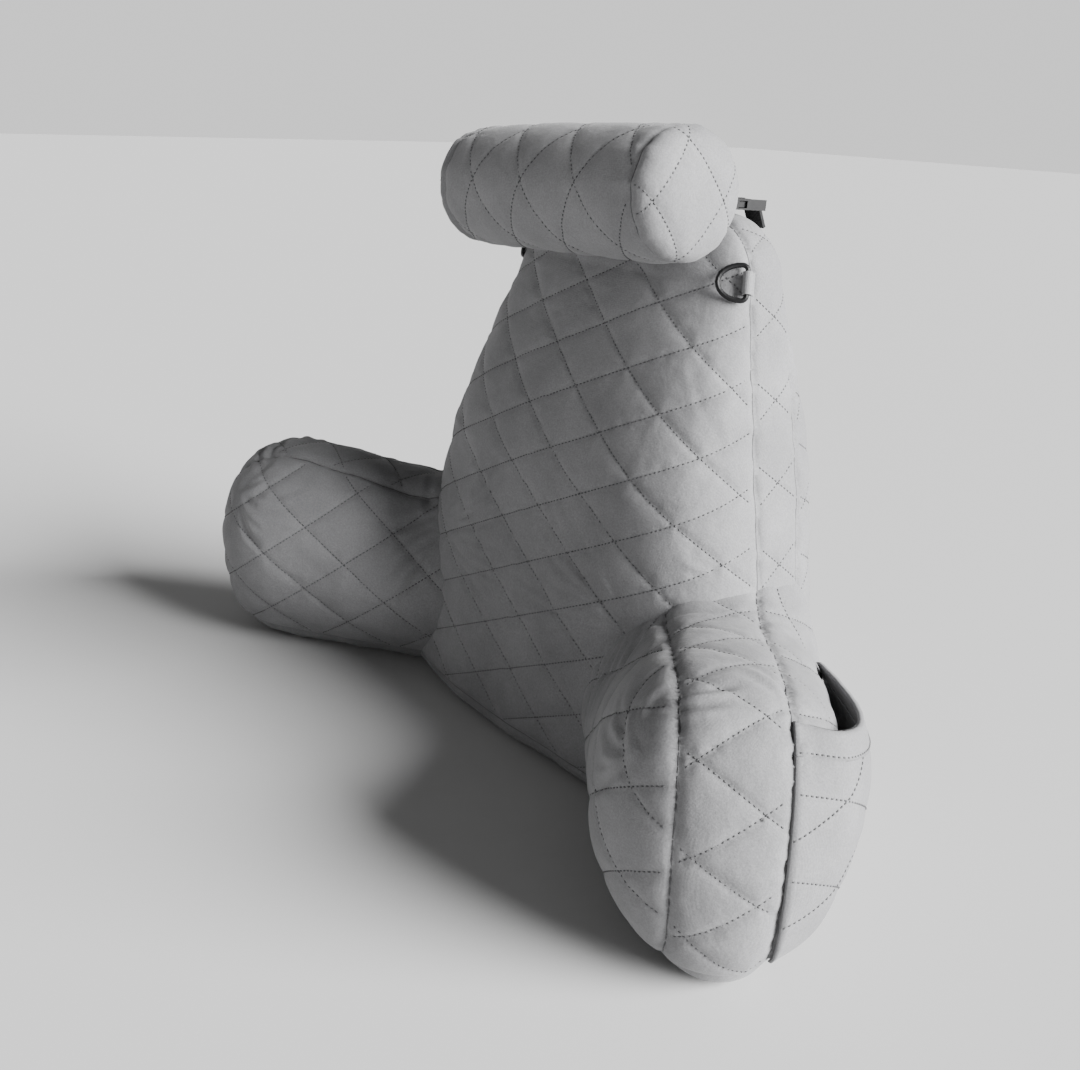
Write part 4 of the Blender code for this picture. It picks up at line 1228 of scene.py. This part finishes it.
def roll_relief(points):
    """Soft waves, a slight belly, and gathers on both sides of each end's seam."""
    x, turn, radius = roll_local(points)
    ring = np.stack([np.cos(turn), np.sin(turn), np.sign(x) * 0.5], axis=1) * ROLL_RADIUS
    past = np.abs(x) - ROLL_SEAM
    gather = np.abs(noise(ring, 0.0085, 61)) * 2 - 0.7
    height = waves(points, ROLL_WAVES)
    height += np.where(past < 0, 1.7 * MM * gather * np.exp(past / (13 * MM)), 0.0)
    height += np.where(past >= 0, 0.9 * MM * gather * np.exp(-(ROLL_RADIUS - radius) / (5 * MM)), 0.0)
    height += np.where(past < 0, 1.5 * MM * np.cos(np.pi * x / (2 * ROLL_SEAM)), 0.0)
    return height


def build_roll():
    def roll_coordinates(p):
        x, turn, _ = roll_local(p)
        return x, turn * ROLL_RADIUS

    def cap_coordinates(p):
        local = p - roll_middle()
        return local[:, 1], local[:, 2]

    # A whole number of diamonds goes round the tube.
    round_height = 2 * math.pi * ROLL_RADIUS / 3
    tube_lines = diamond_fields(roll_coordinates, (-0.009, 0.0075), ROLL_DIAMOND_WIDTH, round_height)
    cap_lines = diamond_fields(cap_coordinates, (-0.010, -0.052), DIAMOND_HEIGHT, DIAMOND_WIDTH)

    def seam(p):
        return np.abs(p[:, 0]) - ROLL_SEAM

    def tube(p):
        return seam(p) < -SEAM_MARGIN

    def caps(p):
        return seam(p) > CAP_MARGIN

    seams = [(seam, everywhere)]
    patches = [(tube, tube_lines, QUILT_DEPTH * 0.8), (caps, cap_lines, QUILT_DEPTH * 0.6)]
    name = "neck_roll_cushion"
    cushion, threads = quilted_cushion(name, roll_shape(), seams, patches, roll_relief, "neck_roll")
    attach(cushion, "neck_roll")
    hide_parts("roll_tube", "roll_end_left", "roll_end_right", "roll_fill")
    # The roll lies a little crooked on the backrest, with its right end up.
    middle = Matrix.Translation(roll_middle())
    tilt = middle @ Matrix.Rotation(-ROLL_TILT, 4, "Y") @ middle.inverted()
    for piece in (cushion, threads):
        piece.data.transform(tilt)


# Straps, buckles, rings and zip


def carry_over():
    """The CAD nodes whose shape is right get their finish and rounded edges."""
    finishes = {
        "black_plastic": PLASTIC,
        "zip_metal": ZIP_METAL,
        "black_webbing": WEBBING,
        "zip_tape": ZIP_TAPE,
        "quilted_cover": FABRIC,
    }
    for row in frame["record"]["subparts"]:
        name, slot = row["node"], row["material_slot"]
        node = frame["nodes"][name]
        if node.hide_render or slot not in finishes:
            continue
        node.data.materials.clear()
        node.data.materials.append(finishes[slot])
        if slot in ("black_plastic", "zip_metal") and "ring" not in name:
            bevel = node.modifiers.new("edges", "BEVEL")
            bevel.width = 0.5 * MM if "buckle" in name else 0.2 * MM
            bevel.segments = 2
            bevel.limit_method = "ANGLE"
        if name.startswith("d_ring_") and "tab" not in name:
            node.data.shade_smooth()


def build_zip_teeth():
    """The closed coil: teeth from each tape in turn, across the middle line."""
    count = int((ZIP_LENGTH - 2 * ZIP_COIL_END) / TOOTH_PITCH)
    middle = SURFACE_REST + ZIP_TAPE_THICKNESS + GAP + TOOTH_RISE / 2
    shape = bmesh.new()
    for k in range(count):
        side = 1 if k % 2 else -1
        tooth = bmesh.ops.create_cube(shape, size=1.0)["verts"]
        bmesh.ops.scale(shape, vec=(TOOTH_LENGTH, TOOTH_RISE, TOOTH_PITCH * 0.8), verts=tooth)
        bmesh.ops.rotate(shape, matrix=Matrix.Rotation(side * TOOTH_TURN, 3, "Y"), verts=tooth)
        across, up = side * (ZIP_COIL_HALF_WIDTH - TOOTH_LENGTH / 2), ZIP_COIL_END + k * TOOTH_PITCH
        bmesh.ops.translate(shape, vec=(across, middle, up), verts=tooth)
    bmesh.ops.bevel(shape, geom=shape.edges[:], offset=0.25 * MM, segments=1, affect="EDGES")
    mesh = bpy.data.meshes.new("zip_teeth")
    shape.to_mesh(mesh)
    shape.free()
    lean = Matrix.Rotation(-math.atan(LEAN), 4, "X")
    start = (0, BASE_CENTRE_Y + LEAN * ZIP_BOTTOM + HALF_DEPTH, ZIP_BOTTOM)
    mesh.transform(Matrix.Translation(start) @ lean)
    teeth = new_object("zip_teeth", mesh, ZIP_TAPE)
    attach(teeth, "root")
    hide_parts("zip_coil")


def build_stage():
    """A wide pale floor."""
    mesh = bpy.data.meshes.new("floor")
    shape = bmesh.new()
    bmesh.ops.create_grid(shape, x_segments=1, y_segments=1, size=14.0)
    shape.to_mesh(mesh)
    shape.free()
    floor = new_object("floor", mesh, new_material("pale_floor", (0.52, 0.52, 0.52), 0.9)[0])
    floor.location = (0, 0, -0.5 * MM)


def build_lights():
    """A bright band round the horizon, as pale studio walls, under a dim ceiling, and the key light."""
    world = bpy.data.worlds.new("studio")
    bpy.context.scene.world = world
    world.use_nodes = True
    nodes, links = world.node_tree.nodes, world.node_tree.links
    background = nodes["Background"]
    background.inputs["Strength"].default_value = 1.0
    direction = add_node(nodes, "ShaderNodeTexCoord")
    split = add_node(nodes, "ShaderNodeSeparateXYZ")
    links.new(direction.outputs["Generated"], split.inputs["Vector"])
    walls = colour_ramp(nodes, links, split.outputs["Z"], (0.10, 1.0, 1.0), (0.30, 0.15, 0.15))
    links.new(walls, background.inputs["Color"])
    # The key is broad and low, from the object's right and a little behind, so its front is in half shade.
    light = bpy.data.lights.new("key", "SUN")
    light.energy = 19.5
    light.angle = math.radians(42)
    made = bpy.data.objects.new("key", light)
    bpy.context.scene.collection.objects.link(made)
    made.rotation_mode = "QUATERNION"
    made.rotation_quaternion = Vector((2.4, 1.3, 1.05)).to_track_quat("Z", "Y")


def build_camera():
    camera = bpy.data.cameras.new("camera")
    camera.lens = CAMERA_LENS
    camera.sensor_width = 36.0
    camera.clip_start = 0.05
    made = bpy.data.objects.new("camera", camera)
    bpy.context.scene.collection.objects.link(made)
    towards = Vector((math.sin(CAMERA_AZIMUTH), -math.cos(CAMERA_AZIMUTH), 0))
    place = CAMERA_DISTANCE * towards + Vector((0, 0, CAMERA_HEIGHT))
    yaw = CAMERA_AZIMUTH + CAMERA_TURN
    flat = math.cos(CAMERA_PITCH)
    forward = Vector((-math.sin(yaw) * flat, math.cos(yaw) * flat, -math.sin(CAMERA_PITCH)))
    right = Vector((math.cos(yaw), math.sin(yaw), 0))
    up = right.cross(forward)
    c, s = math.cos(CAMERA_ROLL), math.sin(CAMERA_ROLL)
    axes = Matrix((right * c + up * s, up * c - right * s, -forward)).transposed().to_4x4()
    axes.translation = place
    made.matrix_world = axes
    bpy.context.scene.camera = made


build_camera()
build_lights()
build_stage()
build_backrest()
for label, side in SIDES.items():
    build_arm(label, side)
    build_pocket(label, side)
build_roll()
build_zip_teeth()
carry_over()
